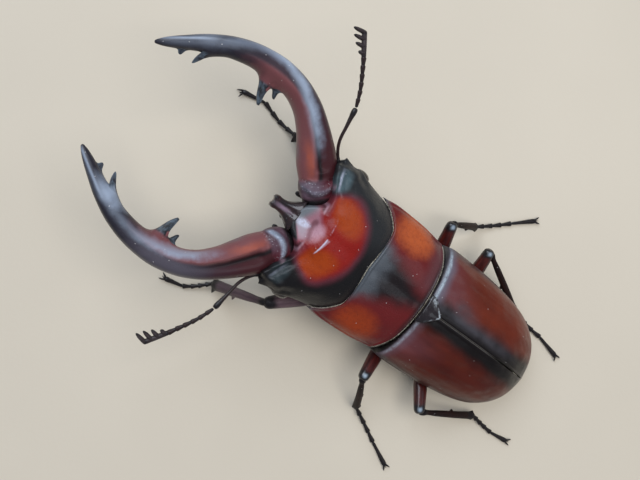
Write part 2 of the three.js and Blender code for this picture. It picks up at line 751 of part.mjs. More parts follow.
/** Spikes on the outside of a shin and a pair of spurs around its ankle. */
function shinSpikes({ knee, ankle }, outward, scale) {
  const at = (t) => knee.map((value, i) => lerp(value, ankle[i], t));
  const out = (point, reach, drop) => [
    point[0] + outward[0] * reach, point[1] + outward[1] * reach, point[2] - drop];
  return [
    spike(at(0.52), out(at(0.62), 1.45 * scale, 0.3), 0.42, [0, 0, 0], 4),
    spike(at(0.95), out(at(1.04), 1.7 * scale, 0.0), 0.45, [0, 0, 0], 4),
    spike(at(0.95), out(at(1.04), -1.4 * scale, 0.0), 0.4, [0, 0, 0], 4),
  ];
}

// Ends of the five foot segments along the foot, the last one long and slender.
const FOOT_JOINTS = [0, 0.15, 0.3, 0.45, 0.6, 1];
const footStations = FOOT_JOINTS.slice(1).flatMap((end, i) => {
  const start = FOOT_JOINTS[i];
  return [start, lerp(start, end, 0.72)];
}).concat(1);
const footRadius = (t) =>
  LEG.tarsusRadius * (FOOT_JOINTS.some((joint) => Math.abs(joint - t) < 1e-6) ? 0.66 : 1.05);

/** Flattens whatever would dip below the floor, which gives each foot its resting flats. */
function restOnFloor(geometry) {
  const { position } = geometry.attributes;
  for (let i = 0; i < position.count; i += 1) {
    if (position.getZ(i) < 0.04) position.setZ(i, 0);
  }
  return geometry;
}

function addLeg(name, leg) {
  const { coxa, knee, ankle, foot, scale } = leg;
  addPiece(trunk, `${name}_coxa`, hip(leg, 0), LIMB_DARK);

  addPiece(limbs, `${name}_femur`, thigh(leg, 0, THIGH_STATIONS), SHELL_GARNET);

  const kneeCap = toward(knee, coxa[1], -0.4);
  const shinStart = toward(kneeCap, ankle, 0.5);
  const shin = LEG.tibiaRadius * scale;
  const bowed = shinStart.map((value, i) => lerp(value, ankle[i], 0.5) + (i === 2 ? 0.35 : 0));
  const shinBody = sweep({
    path: [shinStart, bowed, ankle],
    width: profile([0, 0.48], [0.12, shin * 0.78], [0.6, shin], [0.94, shin * 1.15], [1, 0.7]),
    height: profile([0, 0.48], [0.12, shin * 0.8], [0.6, shin * 0.9], [0.94, shin], [1, 0.6]),
    stations: [0, 0.12, 0.5, 0.94, 1],
    sides: 7,
  });
  const away = vec(...ankle).sub(vec(...knee)).setZ(0).normalize();
  const outward = [Math.sign(knee[0]) * -away.y, Math.sign(knee[0]) * away.x];
  addPiece(limbs, `${name}_tibia`,
    joined(shinBody, ...shinSpikes(leg, outward, scale)), LIMB_DARK);

  const footPath = [toward(ankle, foot[0], 0.4), ...foot];
  addPiece(limbs, `${name}_tarsus`, restOnFloor(sweep({
    path: footPath,
    width: footRadius,
    stations: footStations,
    sides: 6,
  })), LIMB_DARK);

  const toe = vec(...foot.at(-1));
  const ahead = toe.clone().sub(vec(...foot.at(-2))).normalize();
  const aside = vec(-ahead.y, ahead.x, 0);
  const root = toe.clone().addScaledVector(ahead, GAP);
  const claws = [-1, 1].map((side) => {
    const bend = root.clone().addScaledVector(ahead, LEG.clawLength * 0.6)
      .addScaledVector(aside, side * 0.75);
    const tip = root.clone().addScaledVector(ahead, LEG.clawLength)
      .addScaledVector(aside, side * 0.95);
    tip.z = LEG.clawRadius * 0.6;
    bend.z += 0.25;
    return sweep({
      path: [root.toArray(), bend.toArray(), tip.toArray()],
      width: profile([0, LEG.clawRadius * 1.1], [0.5, LEG.clawRadius], [1, LEG.clawRadius * 0.4]),
      stations: [0, 0.5, 1],
      sides: 5,
    });
  });
  addPiece(limbs, `${name}_claws`, restOnFloor(joined(...claws)), LIMB_DARK);
}

Object.entries(LEGS).forEach(([name, leg]) => addLeg(name, leg));

export default beetle;
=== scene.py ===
"""Looks of a male stag beetle, life size: shells, jaws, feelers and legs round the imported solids.

The trunk, head, jaws and feelers are shaped in millimetres in a level body frame: the head looks
along -Y, the beetle's own left side is +X, and the origin is the joint between pronotum and wing
cases. They are then pitched up and set in place together. The legs are shaped in the floor's frame.
"""
import sys

import logging
import math
import random
from dataclasses import dataclass, field
from enum import Enum
from typing import Callable, Iterable, Mapping, Sequence

import bmesh
import bpy
from mathutils import Matrix, Vector


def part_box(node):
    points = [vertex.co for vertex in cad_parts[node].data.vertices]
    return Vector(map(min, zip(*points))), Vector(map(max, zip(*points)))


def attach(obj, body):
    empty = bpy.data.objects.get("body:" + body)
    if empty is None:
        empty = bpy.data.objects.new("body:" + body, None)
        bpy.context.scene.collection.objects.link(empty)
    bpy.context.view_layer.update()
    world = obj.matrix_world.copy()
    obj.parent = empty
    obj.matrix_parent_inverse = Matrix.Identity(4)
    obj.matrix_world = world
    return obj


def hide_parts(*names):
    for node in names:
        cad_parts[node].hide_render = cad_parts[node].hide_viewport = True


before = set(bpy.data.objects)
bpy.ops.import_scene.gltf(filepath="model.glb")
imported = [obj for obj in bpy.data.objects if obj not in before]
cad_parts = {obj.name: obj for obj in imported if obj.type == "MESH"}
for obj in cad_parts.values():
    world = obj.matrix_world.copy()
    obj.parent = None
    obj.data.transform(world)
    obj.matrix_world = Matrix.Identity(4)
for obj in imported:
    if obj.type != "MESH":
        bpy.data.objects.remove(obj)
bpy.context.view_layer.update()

LOG = logging.getLogger("beetle")
MM = 0.001
PITCH = math.radians(14)
BODY_ORIGIN = Vector((-0.13, 9.70, 11.2))
FORM_LENGTH = 10

Colour = tuple[float, float, float]
Point = tuple[float, float, float]
Line = Sequence[tuple[float, float]]
Curve = Callable[[float], float]
Test = Callable[[Vector], bool]
Piece = bpy.types.Object
Material = bpy.types.Material


class Side(Enum):
    """Which side of the beetle a piece is on; the value is the sign of its x."""

    LEFT = 1
    RIGHT = -1

    @property
    def word(self) -> str:
        """The side's name as it ends a node's name."""
        return self.name.lower()


def rgb(red: int, green: int, blue: int) -> Colour:
    """A screen colour of three parts from 0 to 255, as the linear values a shader takes."""
    scaled = [value / 255 for value in (red, green, blue)]
    return tuple(v / 12.92 if v <= 0.04045 else ((v + 0.055) / 1.055) ** 2.4 for v in scaled)


def lerp(low: float, high: float, share: float) -> float:
    """The value a share of the way from low to high."""
    return low + (high - low) * share


def even(start: float, end: float, count: int) -> list[float]:
    """Evenly spaced places from start to end, both included."""
    return [lerp(start, end, i / (count - 1)) for i in range(count)]


class Profile:
    """A smooth curve through stops that never overshoots between them."""

    def __init__(self, *stops: tuple[float, float]) -> None:
        """Keeps the stops and works out the slope at each.

        Args:
            stops: Pairs of place and value, in order of place.
        """
        self.stops = stops
        rises = [(b[1] - a[1]) / (b[0] - a[0]) for a, b in zip(stops, stops[1:])]
        inner = [0.0 if a * b <= 0 else 2 * a * b / (a + b) for a, b in zip(rises, rises[1:])]
        self.slopes = [rises[0], *inner, rises[-1]]

    def __call__(self, place: float) -> float:
        """The curve's value at a place.

        Args:
            place: Where to read it; past the ends it stays level.

        Returns:
            The value there.
        """
        if place <= self.stops[0][0]:
            return self.stops[0][1]
        for i, ((x0, y0), (x1, y1)) in enumerate(zip(self.stops, self.stops[1:])):
            if place < x1:
                span = x1 - x0
                t = (place - x0) / span
                start = self.slopes[i] * t * (1 - t) ** 2
                end = self.slopes[i + 1] * t * t * (t - 1)
                return lerp(y0, y1, t * t * (3 - 2 * t)) + span * (start + end)
        return self.stops[-1][1]


@dataclass(frozen=True)
class Arch:
    """A rounded arch, 1 in the middle and 0 at the margins."""

    squareness: float
    roundness: float

    def __call__(self, u: float) -> float:
        """Height of the arch at u from -1 to 1."""
        return max(0.0, 1 - abs(u) ** self.squareness) ** self.roundness


# --- The modelling bench ---


@dataclass
class Sheet:
    """A flat grid on the bench, as the numbers of its points in columns and rows."""

    columns: list[list[int]]
    rows: list[list[int]]


@dataclass(frozen=True)
class Station:
    """One stop of a lofted ring: its place along Y, its half sizes and its centre."""

    y: float
    wide: float
    high: float
    x: float = 0.0
    z: float = 0.0


@dataclass(frozen=True)
class Step:
    """One stage of a drawn-out spike: how far it goes and how much it shrinks."""

    move: Point
    scale: float


class Bench:
    """One mesh under the hands. Points are picked in code and shaped with edit-mode operators."""

    def __init__(self, work: str | Piece) -> None:
        """Starts an empty mesh in edit mode, or takes a finished piece back into it.

        Args:
            work: The new piece's name, or the finished piece.
        """
        if isinstance(work, str):
            bpy.ops.object.select_all(action="DESELECT")
            bpy.ops.object.add(type="MESH", enter_editmode=True, location=(0, 0, 0))
            self.piece = bpy.context.object
            self.piece.name = self.piece.data.name = work
        else:
            self.piece = alone(work)
            bpy.ops.object.mode_set(mode="EDIT")
        bpy.ops.mesh.select_mode(type="VERT")

    def mesh(self) -> bmesh.types.BMesh:
        """The mesh as it is in edit mode, with its points numbered."""
        shape = bmesh.from_edit_mesh(self.piece.data)
        shape.verts.ensure_lookup_table()
        return shape

    def show(self, shape: bmesh.types.BMesh) -> None:
        """Carries a changed selection over to edges and faces."""
        shape.select_flush_mode()
        bmesh.update_edit_mesh(self.piece.data, loop_triangles=False, destructive=False)

    def pick(self, points: Iterable[int]) -> "Bench":
        """Selects points by number and nothing else."""
        shape = self.mesh()
        for v in shape.verts:
            v.select_set(False)
        for i in points:
            shape.verts[i].select_set(True)
        self.show(shape)
        return self

    def pick_where(self, test: Test) -> "Bench":
        """Selects the points whose place passes a test."""
        return self.pick([v.index for v in self.mesh().verts if test(v.co)])

    def pick_faces(self, test: Test) -> int:
        """Selects the faces whose middle passes a test, and counts them."""
        bpy.ops.mesh.select_mode(type="FACE")
        shape = self.mesh()
        for face in shape.faces:
            face.select_set(test(face.calc_center_median()))
        self.show(shape)
        return sum(face.select for face in shape.faces)

    def move(self, x: float = 0, y: float = 0, z: float = 0, reach: float = 0) -> "Bench":
        """Moves what is selected; the mesh within reach follows, fading out."""
        soft = {"use_proportional_edit": True, "proportional_edit_falloff": "SMOOTH",
                "proportional_size": reach} if reach else {}
        bpy.ops.transform.translate(value=(x, y, z), **soft)
        return self

    def size(self, x: float = 1, y: float = 1, z: float = 1, about: Point = (0, 0, 0)) -> "Bench":
        """Scales what is selected about a point."""
        bpy.ops.transform.resize(value=(x, y, z), center_override=about)
        return self

    def roll(self, lines: Sequence[list[int]], rims: Mapping[int, float], bead: float) -> "Bench":
        """Lifts or sinks lines of a sheet, each by its own share of a bead's height."""
        for line, share in rims.items():
            self.pick(lines[line]).move(z=bead * share)
        return self

    def sheet(self, columns: Sequence[float], rows: Sequence[float]) -> Sheet:
        """Adds a flat grid and slides its lines to the given places.

        Args:
            columns: X of each column of points.
            rows: Y of each row of points.

        Returns:
            The grid's columns and rows.
        """
        across, down = len(columns) - 1, len(rows) - 1
        bpy.ops.mesh.select_all(action="DESELECT")
        bpy.ops.mesh.primitive_grid_add(x_subdivisions=across, y_subdivisions=down, size=2)
        grid = Sheet([[] for _ in columns], [[] for _ in rows])
        for v in self.mesh().verts:
            if v.select:
                grid.columns[round((v.co.x + 1) / 2 * across)].append(v.index)
                grid.rows[round((v.co.y + 1) / 2 * down)].append(v.index)
        for i, place in enumerate(columns):
            self.pick(grid.columns[i]).move(x=place - (i / across * 2 - 1))
        for j, place in enumerate(rows):
            self.pick(grid.rows[j]).move(y=place - (j / down * 2 - 1))
        return grid

    def by_angle(self, centre: Point) -> list[int]:
        """The selected points in order of their angle from +X towards +Z round a centre."""
        shape = self.mesh()

        def angle(i: int) -> float:
            """Angle of one point, from 0 to a full turn."""
            offset = shape.verts[i].co - Vector(centre)
            return (math.atan2(offset.z, offset.x) + 1e-4) % math.tau

        return sorted((v.index for v in shape.verts if v.select), key=angle)

    def extrude(self, x: float = 0, y: float = 0, z: float = 0) -> "Bench":
        """Draws the selection out into new faces."""
        bpy.ops.mesh.extrude_region_move(TRANSFORM_OT_translate={"value": (x, y, z)})
        return self

    def loft(self, stations: Sequence[Station], sides: int, outline: Line = ()) -> list[list[int]]:
        """Draws a ring out along Y, station by station, and closes both ends.

        Args:
            stations: Where the ring stops, with its half sizes and centre there.
            sides: How many points the ring has.
            outline: X and z of each point of the unit ring, if it isn't a circle.

        Returns:
            The points of every ring, in order of angle.
        """
        first = stations[0]
        middle = (0, first.y, 0)
        bpy.ops.mesh.select_all(action="DESELECT")
        bpy.ops.mesh.primitive_circle_add(
            vertices=sides, radius=1, location=middle, rotation=(math.pi / 2, 0, 0))
        ring = self.by_angle(middle)
        for i, (x, z) in zip(ring, outline):
            place = self.mesh().verts[i].co
            self.pick([i]).move(x=x - place.x, z=z - place.z)
        self.pick(ring).size(first.wide, 1, first.high, middle).move(x=first.x, z=first.z)
        rings = [ring]
        for last, here in zip(stations, stations[1:]):
            self.pick(rings[-1])
            bpy.ops.mesh.select_mode(type="EDGE")
            bpy.ops.mesh.select_mode(type="VERT")
            self.extrude(y=here.y - last.y)
            self.size(here.wide / last.wide, 1, here.high / last.high, (last.x, here.y, last.z))
            self.move(x=here.x - last.x, z=here.z - last.z)
            rings.append(self.by_angle((here.x, here.y, here.z)))
        for ring in (rings[0], rings[-1]):
            self.pick(ring)
            bpy.ops.mesh.edge_face_add()
            bpy.ops.mesh.poke()
        return rings

    def draw_out(self, test: Test, steps: Sequence[Step]) -> int:
        """Pulls a tooth or spike out of the faces that pass a test.

        Args:
            test: Says of a face's middle whether it belongs to the root.
            steps: Each stage's move and its scale about the new middle.

        Returns:
            How many faces the root has.
        """
        count = self.pick_faces(test)
        for step in steps:
            self.extrude(*step.move)
            chosen = [v.co for v in self.mesh().verts if v.select]
            middle = sum(chosen, Vector()) / len(chosen)
            self.size(step.scale, step.scale, step.scale, tuple(middle))
        bpy.ops.mesh.select_mode(type="VERT")
        return count

    def bridge(self) -> None:
        """Joins the two open margins with a wall of faces."""
        bpy.ops.mesh.select_mode(type="EDGE")
        shape = self.mesh()
        for edge in shape.edges:
            edge.select_set(edge.is_boundary)
        self.show(shape)
        bpy.ops.mesh.bridge_edge_loops(number_cuts=0)
        bpy.ops.mesh.select_mode(type="VERT")
        bpy.ops.mesh.select_all(action="DESELECT")

    def bristle(self, root: Vector, tip: Vector, radius: float) -> None:
        """Adds one fine four-sided hair from its root to its tip."""
        lie = tip - root
        bpy.ops.mesh.primitive_cone_add(
            vertices=4, radius1=radius, radius2=radius * 0.15, depth=lie.length,
            location=root + lie / 2, rotation=lie.to_track_quat("Z", "Y").to_euler())

    def leave(self) -> Piece:
        """Leaves edit mode with all faces turned outwards."""
        bpy.ops.object.mode_set(mode="OBJECT")
        return face_out(self.piece)

    def deliver(self, finish: Material, slot: str, *nodes: str, levels: int = 1) -> None:
        """Rounds a piece of the trunk, brings it to its place and dresses it.

        Args:
            finish: Its material.
            slot: The record's material slot.
            nodes: The solids that it stands for.
            levels: How often it is subdivided.
        """
        piece = self.leave()
        if levels:
            subdivide(piece, levels)
        present(settle(piece, trunk_place()), finish, slot, *nodes)


def alone(piece: Piece) -> Piece:
    """Makes a piece the only selected and the active one."""
    bpy.ops.object.select_all(action="DESELECT")
    piece.select_set(True)
    bpy.context.view_layer.objects.active = piece
    return piece


def modify(piece: Piece, kind: str, **settings: object) -> Piece:
    """Adds a modifier and applies it.

    Args:
        piece: The piece it works on.
        kind: Blender's name of the modifier.
        settings: Its settings.

    Returns:
        The piece.
    """
    modifier = alone(piece).modifiers.new(kind.lower(), kind)
    for key, value in settings.items():
        setattr(modifier, key, value)
    bpy.ops.object.modifier_apply(modifier=modifier.name)
    return piece


def subdivide(piece: Piece, levels: int) -> Piece:
    """Rounds a piece with applied subdivision levels."""
    return modify(piece, "SUBSURF", levels=levels, render_levels=levels)


def remember(piece: Piece, place: Callable[[Vector], Sequence[float]]) -> Piece:
    """Stores a place of its own on each point, for patterns that follow the form.

    Args:
        piece: The piece, still in the shape in which it was modelled.
        place: Turns a point's position into the three stored values.

    Returns:
        The piece.
    """
    store = piece.data.attributes.new("form", "FLOAT_VECTOR", "POINT")
    for v, item in zip(piece.data.vertices, store.data):
        item.vector = place(v.co)
    return piece


def bend(piece: Piece, path: Piece) -> Piece:
    """Bends a straight piece that runs along +Y onto a path, top upwards, and drops the path.

    Args:
        piece: The straight piece, its +X turning to the path's right when looked at from above.
        path: The curve object.

    Returns:
        The bent piece.
    """
    settle(piece, Matrix.Rotation(math.pi / 2, 4, "Y"))
    modify(piece, "CURVE", object=path, deform_axis="POS_Y")
    bpy.data.curves.remove(path.data)
    return piece


def route(name: str, points: Sequence[Point]) -> tuple[Piece, float]:
    """A smooth path through points.

    Args:
        name: The curve's name.
        points: The places it goes through.

    Returns:
        The curve object and its length.
    """
    curve = bpy.data.curves.new(name, "CURVE")
    curve.dimensions = "3D"
    curve.twist_mode = "Z_UP"
    curve.resolution_u = 24
    line = curve.splines.new("BEZIER")
    line.bezier_points.add(len(points) - 1)
    for knot, place in zip(line.bezier_points, points):
        knot.co = place
        knot.handle_left_type = knot.handle_right_type = "AUTO"
    path = bpy.data.objects.new(name, curve)
    bpy.context.scene.collection.objects.link(path)
    bpy.context.view_layer.update()
    return path, line.calc_length()


def settle(piece: Piece, place: Matrix) -> Piece:
    """Turns, moves or scales a piece and puts that into its mesh.

    Args:
        piece: A piece whose object is at the origin.
        place: Where it goes.

    Returns:
        The piece, its object at the origin again.
    """
    alone(piece).matrix_world = place
    bpy.ops.object.transform_apply(location=True, rotation=True, scale=True)
    return piece


def copy(piece: Piece, name: str) -> Piece:
    """A copy of a piece with a mesh of its own."""
    alone(piece)
    bpy.ops.object.duplicate()
    twin = bpy.context.object
    twin.name = twin.data.name = name
    return twin


def face_out(piece: Piece) -> Piece:
    """Turns all faces of a closed piece outwards."""
    alone(piece)
    bpy.ops.object.mode_set(mode="EDIT")
    bpy.ops.mesh.select_all(action="SELECT")
    bpy.ops.mesh.normals_make_consistent(inside=False)
    bpy.ops.object.mode_set(mode="OBJECT")
    return piece


def mirror(piece: Piece, name: str) -> Piece:
    """A mirror image of a piece on the beetle's other side."""
    return face_out(settle(copy(piece, name), Matrix.Scale(-1, 4, (1, 0, 0))))


def join(pieces: Sequence[Piece]) -> Piece:
    """Makes several objects one, named as the first."""
    alone(pieces[0])
    for piece in pieces:
        piece.select_set(True)
    bpy.ops.object.join()
    return pieces[0]


def aim(start: Vector, end: Vector) -> Matrix:
    """The placing that lays +Y from a start at the origin towards an end, top upwards."""
    along = (end - start).normalized()
    side = along.cross(Vector((0, 0, 1))).normalized()
    turned = Matrix((side, along, side.cross(along))).transposed().to_4x4()
    return Matrix.Translation(start) @ turned


def trunk_place() -> Matrix:
    """Brings a piece from the level body frame, in millimetres, into the row frame."""
    return Matrix.Translation(BODY_ORIGIN * MM) @ Matrix.Rotation(-PITCH, 4, "X") @ Matrix.Scale(MM, 4)


def floor_place() -> Matrix:
    """Brings a piece from the legs' floor frame, in millimetres, into the row frame."""
    shift = Vector((BODY_ORIGIN.x, BODY_ORIGIN.y, 0))
    return Matrix.Translation(shift * MM) @ Matrix.Scale(MM, 4)


def present(piece: Piece, finish: Material, slot: str, *nodes: str) -> None:
    """Dresses a finished piece, sets it on its body and reports how it sits on its solids.

    Args:
        piece: The finished piece, in metres.
        finish: Its material.
        slot: Not used.
        nodes: The solids that it stands for.
    """
    alone(piece)
    bpy.ops.object.shade_smooth()
    piece.data.materials.clear()
    piece.data.materials.append(finish)
    corners = [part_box(node) for node in nodes]
    over = 0
    for axis in range(3):
        values = [v.co[axis] for v in piece.data.vertices]
        over = max(over, min(low[axis] for low, _ in corners) - min(values)) if corners else 0
        over = max(over, max(values) - max(high[axis] for _, high in corners)) if corners else 0
    if nodes:
        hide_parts(*nodes)
    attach(piece, "root")
    LOG.info("%-24s %6d faces, %.2f mm past its solid", piece.name, len(piece.data.polygons), over / MM)


def present_both(left: Piece, finish: Material, slot: str, node: str,
                 turn: Callable[[Side], Matrix] = lambda side: Matrix.Identity(4)) -> None:
    """Mirrors a left piece of the trunk and dresses both, each for its own side's solid.

    Args:
        left: The left piece, in the body frame, with its side in its name.
        finish: The material of both.
        slot: The record's material slot.
        node: The solids' name without the side.
        turn: A last turn for each side, in the body frame.
    """
    right = mirror(left, left.name.replace("left", "right"))
    for piece, side in ((left, Side.LEFT), (right, Side.RIGHT)):
        settle(piece, trunk_place() @ turn(side))
        present(piece, finish, slot, f"{node}_{side.word}")


# --- Shader expressions ---


class Wire:
    """One output on its way through a material; expressions on it add the nodes."""

    def __init__(self, recipe: "Recipe", socket: bpy.types.NodeSocket) -> None:
        """Wraps an output socket."""
        self.recipe = recipe
        self.socket = socket

    def maths(self, operation: str, *values: "Wire | float", clamp: bool = False) -> "Wire":
        """Adds a Math node, or a Vector Math node where a vector is among the values."""
        wide = any(isinstance(v, Wire) and v.socket.type != "VALUE" for v in values)
        kind = "ShaderNodeVectorMath" if wide else "ShaderNodeMath"
        settings = {"operation": operation} if wide else {"operation": operation, "use_clamp": clamp}
        return self.recipe.add(kind, settings, dict(enumerate(values)))

    def __add__(self, other: "Wire | float") -> "Wire":
        """This plus another."""
        return self.maths("ADD", self, other)

    __radd__ = __add__

    def __sub__(self, other: "Wire | float") -> "Wire":
        """This less another."""
        return self.maths("SUBTRACT", self, other)

    def __rsub__(self, other: "Wire | float") -> "Wire":
        """Another less this."""
        return self.maths("SUBTRACT", other, self)

    def __mul__(self, other: "Wire | float") -> "Wire":
        """This times another."""
        return self.maths("MULTIPLY", self, other)

    __rmul__ = __mul__

    def __truediv__(self, other: "Wire | float") -> "Wire":
        """This divided by another."""
        return self.maths("DIVIDE", self, other)

    def __pow__(self, power: float) -> "Wire":
        """This to a power."""
        return self.maths("POWER", self, power)

    def __abs__(self) -> "Wire":
        """This without its sign."""
        return self.maths("ABSOLUTE", self)

    def most(self, other: "Wire | float") -> "Wire":
        """The larger of this and another."""
        return self.maths("MAXIMUM", self, other)

    def least(self, other: "Wire | float") -> "Wire":
        """The smaller of this and another."""
        return self.maths("MINIMUM", self, other)

    def held(self) -> "Wire":
        """This kept between 0 and 1."""
        return self.maths("ADD", self, 0.0, clamp=True)

    def wave(self) -> "Wire":
        """The sine of this."""
        return self.maths("SINE", self)

    def rise(self, low: float, high: float) -> "Wire":
        """Goes smoothly from 0 at the low value to 1 at the high one."""
        if low > high:
            return 1 - self.rise(high, low)
        return self.recipe.add("ShaderNodeMapRange", {"interpolation_type": "SMOOTHSTEP"},
                               {"Value": self, "From Min": low, "From Max": high})

    def near(self, middle: float, reach: float) -> "Wire":
        """Is 1 at the middle value and fades to 0 a reach away."""
        return abs(self - middle).rise(reach, 0.0)

    def split(self) -> tuple["Wire", "Wire", "Wire"]:
        """The three parts of a vector."""
        node = self.recipe.node("ShaderNodeSeparateXYZ", {}, {0: self})
        return tuple(Wire(self.recipe, node.outputs[i]) for i in range(3))


class Recipe:
    """One material's node tree."""

    def __init__(self, name: str) -> None:
        """Starts an empty material."""
        self.material = bpy.data.materials.new(name)
        self.material.use_nodes = True
        self.tree = self.material.node_tree
        self.tree.nodes.clear()

    def node(self, kind: str, settings: Mapping[str, object],
             inputs: Mapping[object, object]) -> bpy.types.Node:
        """Adds any node.

        Args:
            kind: Its type.
            settings: Its properties, set first.
            inputs: Values or wires for its sockets, by name or number.

        Returns:
            The node.
        """
        made = self.tree.nodes.new(kind)
        for key, value in settings.items():
            setattr(made, key, value)
        for key, value in inputs.items():
            socket = made.inputs[key]
            if isinstance(value, Wire):
                self.tree.links.new(value.socket, socket)
            elif socket.type == "RGBA":
                socket.default_value = (*value, 1)
            elif socket.type == "VECTOR" and isinstance(value, (int, float)):
                socket.default_value = (value,) * 3
            else:
                socket.default_value = value
        return made

    def add(self, kind: str, settings: Mapping[str, object], inputs: Mapping[object, object],
            output: int | str = 0) -> Wire:
        """Adds a node and gives one of its outputs as a wire."""
        return Wire(self, self.node(kind, settings, inputs).outputs[output])

    def blend(self, share: Wire | float, under: Wire | Colour, over: Wire | Colour) -> Wire:
        """Mixes two colours by the share of the second."""
        return self.add("ShaderNodeMix", {"data_type": "RGBA"}, {0: share, 6: under, 7: over}, 2)

    def layers(self, skin: Wire | Colour, *coats: tuple[Wire | float, Wire | Colour]) -> Wire:
        """Lays coats over a skin in turn, each given as its share and its colour."""
        for share, colour in coats:
            skin = self.blend(share, skin, colour)
        return skin

    def body_place(self) -> Wire:
        """The place on the trunk in the level body frame, in millimetres."""
        place = self.add("ShaderNodeTexCoord", {}, {}, "Object")
        return self.add("ShaderNodeMapping", {"vector_type": "TEXTURE"}, {
            "Vector": place, "Location": BODY_ORIGIN * MM, "Rotation": (-PITCH, 0, 0),
            "Scale": (MM, MM, MM)})

    def form(self) -> Wire:
        """The stored place on the straight form of a bent or repeated piece."""
        return self.add("ShaderNodeAttribute", {"attribute_name": "form"}, {}, "Vector")

    def stretched(self, place: Wire, x: float, y: float, z: float) -> Wire:
        """A place with each axis scaled."""
        return self.add("ShaderNodeMapping", {"vector_type": "POINT"},
                        {"Vector": place, "Scale": (x, y, z)})

    def noise(self, place: Wire, scale: float, detail: float = 3, rough: float = 0.5) -> Wire:
        """Soft noise from 0 to 1, with its scale per millimetre."""
        return self.add("ShaderNodeTexNoise", {}, {
            "Vector": place, "Scale": scale, "Detail": detail, "Roughness": rough})

    def cells(self, place: Wire, scale: float) -> Wire:
        """Distance from the middle of scattered cells."""
        return self.add("ShaderNodeTexVoronoi", {}, {"Vector": place, "Scale": scale}, "Distance")

    def specks(self, place: Wire, scale: float, radius: float, share: float) -> Wire:
        """Sparse round specks.

        Args:
            place: Where they are read.
            scale: Cells per millimetre.
            radius: Half a speck's size within its cell.
            share: How many of the cells hold one.

        Returns:
            A mask, 1 on a speck.
        """
        cell = self.node("ShaderNodeTexVoronoi", {}, {"Vector": place, "Scale": scale})
        draw = Wire(self, cell.outputs["Color"]).split()[0]
        round_spot = Wire(self, cell.outputs["Distance"]).rise(radius, radius * 0.5)
        return round_spot * draw.rise(1 - share, 1 - share + 0.01)

    def finish(self, colour: Wire | Colour, rough: Wire | float, relief: Sequence[tuple[Wire, float]],
               **fixed: float) -> Material:
        """Puts the colour, roughness and relief on one surface shader.

        Args:
            colour: Base colour.
            rough: Roughness.
            relief: Heights, each with its size in millimetres, the coarsest first.
            fixed: Other sockets of the shader with their constants, spaces written as underscores.

        Returns:
            The material.
        """
        inputs: dict[str, object] = {}
        for height, depth in relief:
            step = {"Height": height, "Distance": depth * MM, "Strength": 1.0, **inputs}
            inputs = {"Normal": self.add("ShaderNodeBump", {}, step)}
        inputs.update({"Base Color": colour, "Roughness": rough})
        inputs.update({key.replace("_", " "): value for key, value in fixed.items()})
        surface = self.add("ShaderNodeBsdfPrincipled", {}, inputs)
        self.node("ShaderNodeOutputMaterial", {}, {"Surface": surface})
        return self.material


def spot(x: Wire, y: Wire, middle: tuple[float, float], size: tuple[float, float]) -> Wire:
    """A soft oval spot, 1 at its middle."""
    return (((x - middle[0]) / size[0]) ** 2 + ((y - middle[1]) / size[1]) ** 2).rise(1.1, 0.1)


@dataclass(frozen=True)
class Gloss:
    """How a piece of shell shines: roughness, its clear coat's strength and roughness, and level."""

    rough: float
    coat: float
    coat_rough: float
    level: float = 0.35


@dataclass(frozen=True)
class Chitin:
    """What every kind of shell has: pits, grain and a little dust, over its own colour."""

    name: str
    gloss: Gloss
    pit_scale: float = 2.6
    pit_depth: float = 0.03
    grain: float = 0.012
    dust: float = 0.010
    dust_colour: Colour = rgb(222, 220, 222)

    def paint(self, recipe: Recipe, place: Wire) -> Wire:
        """The colour over the surface.

        Args:
            recipe: The material's node tree.
            place: The place on the piece, in millimetres.

        Returns:
            The colour.
        """
        raise NotImplementedError

    def place(self, recipe: Recipe) -> Wire:
        """The place that the pattern follows."""
        return recipe.body_place()

    def relief(self, recipe: Recipe, place: Wire) -> list[tuple[Wire, float]]:
        """Pits and grain, each with its depth in millimetres."""
        pits = recipe.cells(place, self.pit_scale).rise(0, 0.45)
        grain = recipe.noise(place, 9, 4, 0.65)
        return [(pits, self.pit_depth), (grain, self.grain)]

    def make(self) -> Material:
        """Makes the material."""
        recipe = Recipe(self.name)
        place = self.place(recipe)
        dust = recipe.specks(place, 1.7, 0.11, self.dust * 8)
        colour = recipe.blend(dust, self.paint(recipe, place), self.dust_colour)
        patchy = recipe.noise(place, 0.8, 3, 0.6)
        rough = (self.gloss.rough + (patchy - 0.5) * 0.16 + dust * 0.3).held()
        return recipe.finish(colour, rough, self.relief(recipe, place),
                             Coat_Weight=self.gloss.coat, Coat_Roughness=self.gloss.coat_rough,
                             Specular_IOR_Level=self.gloss.level)


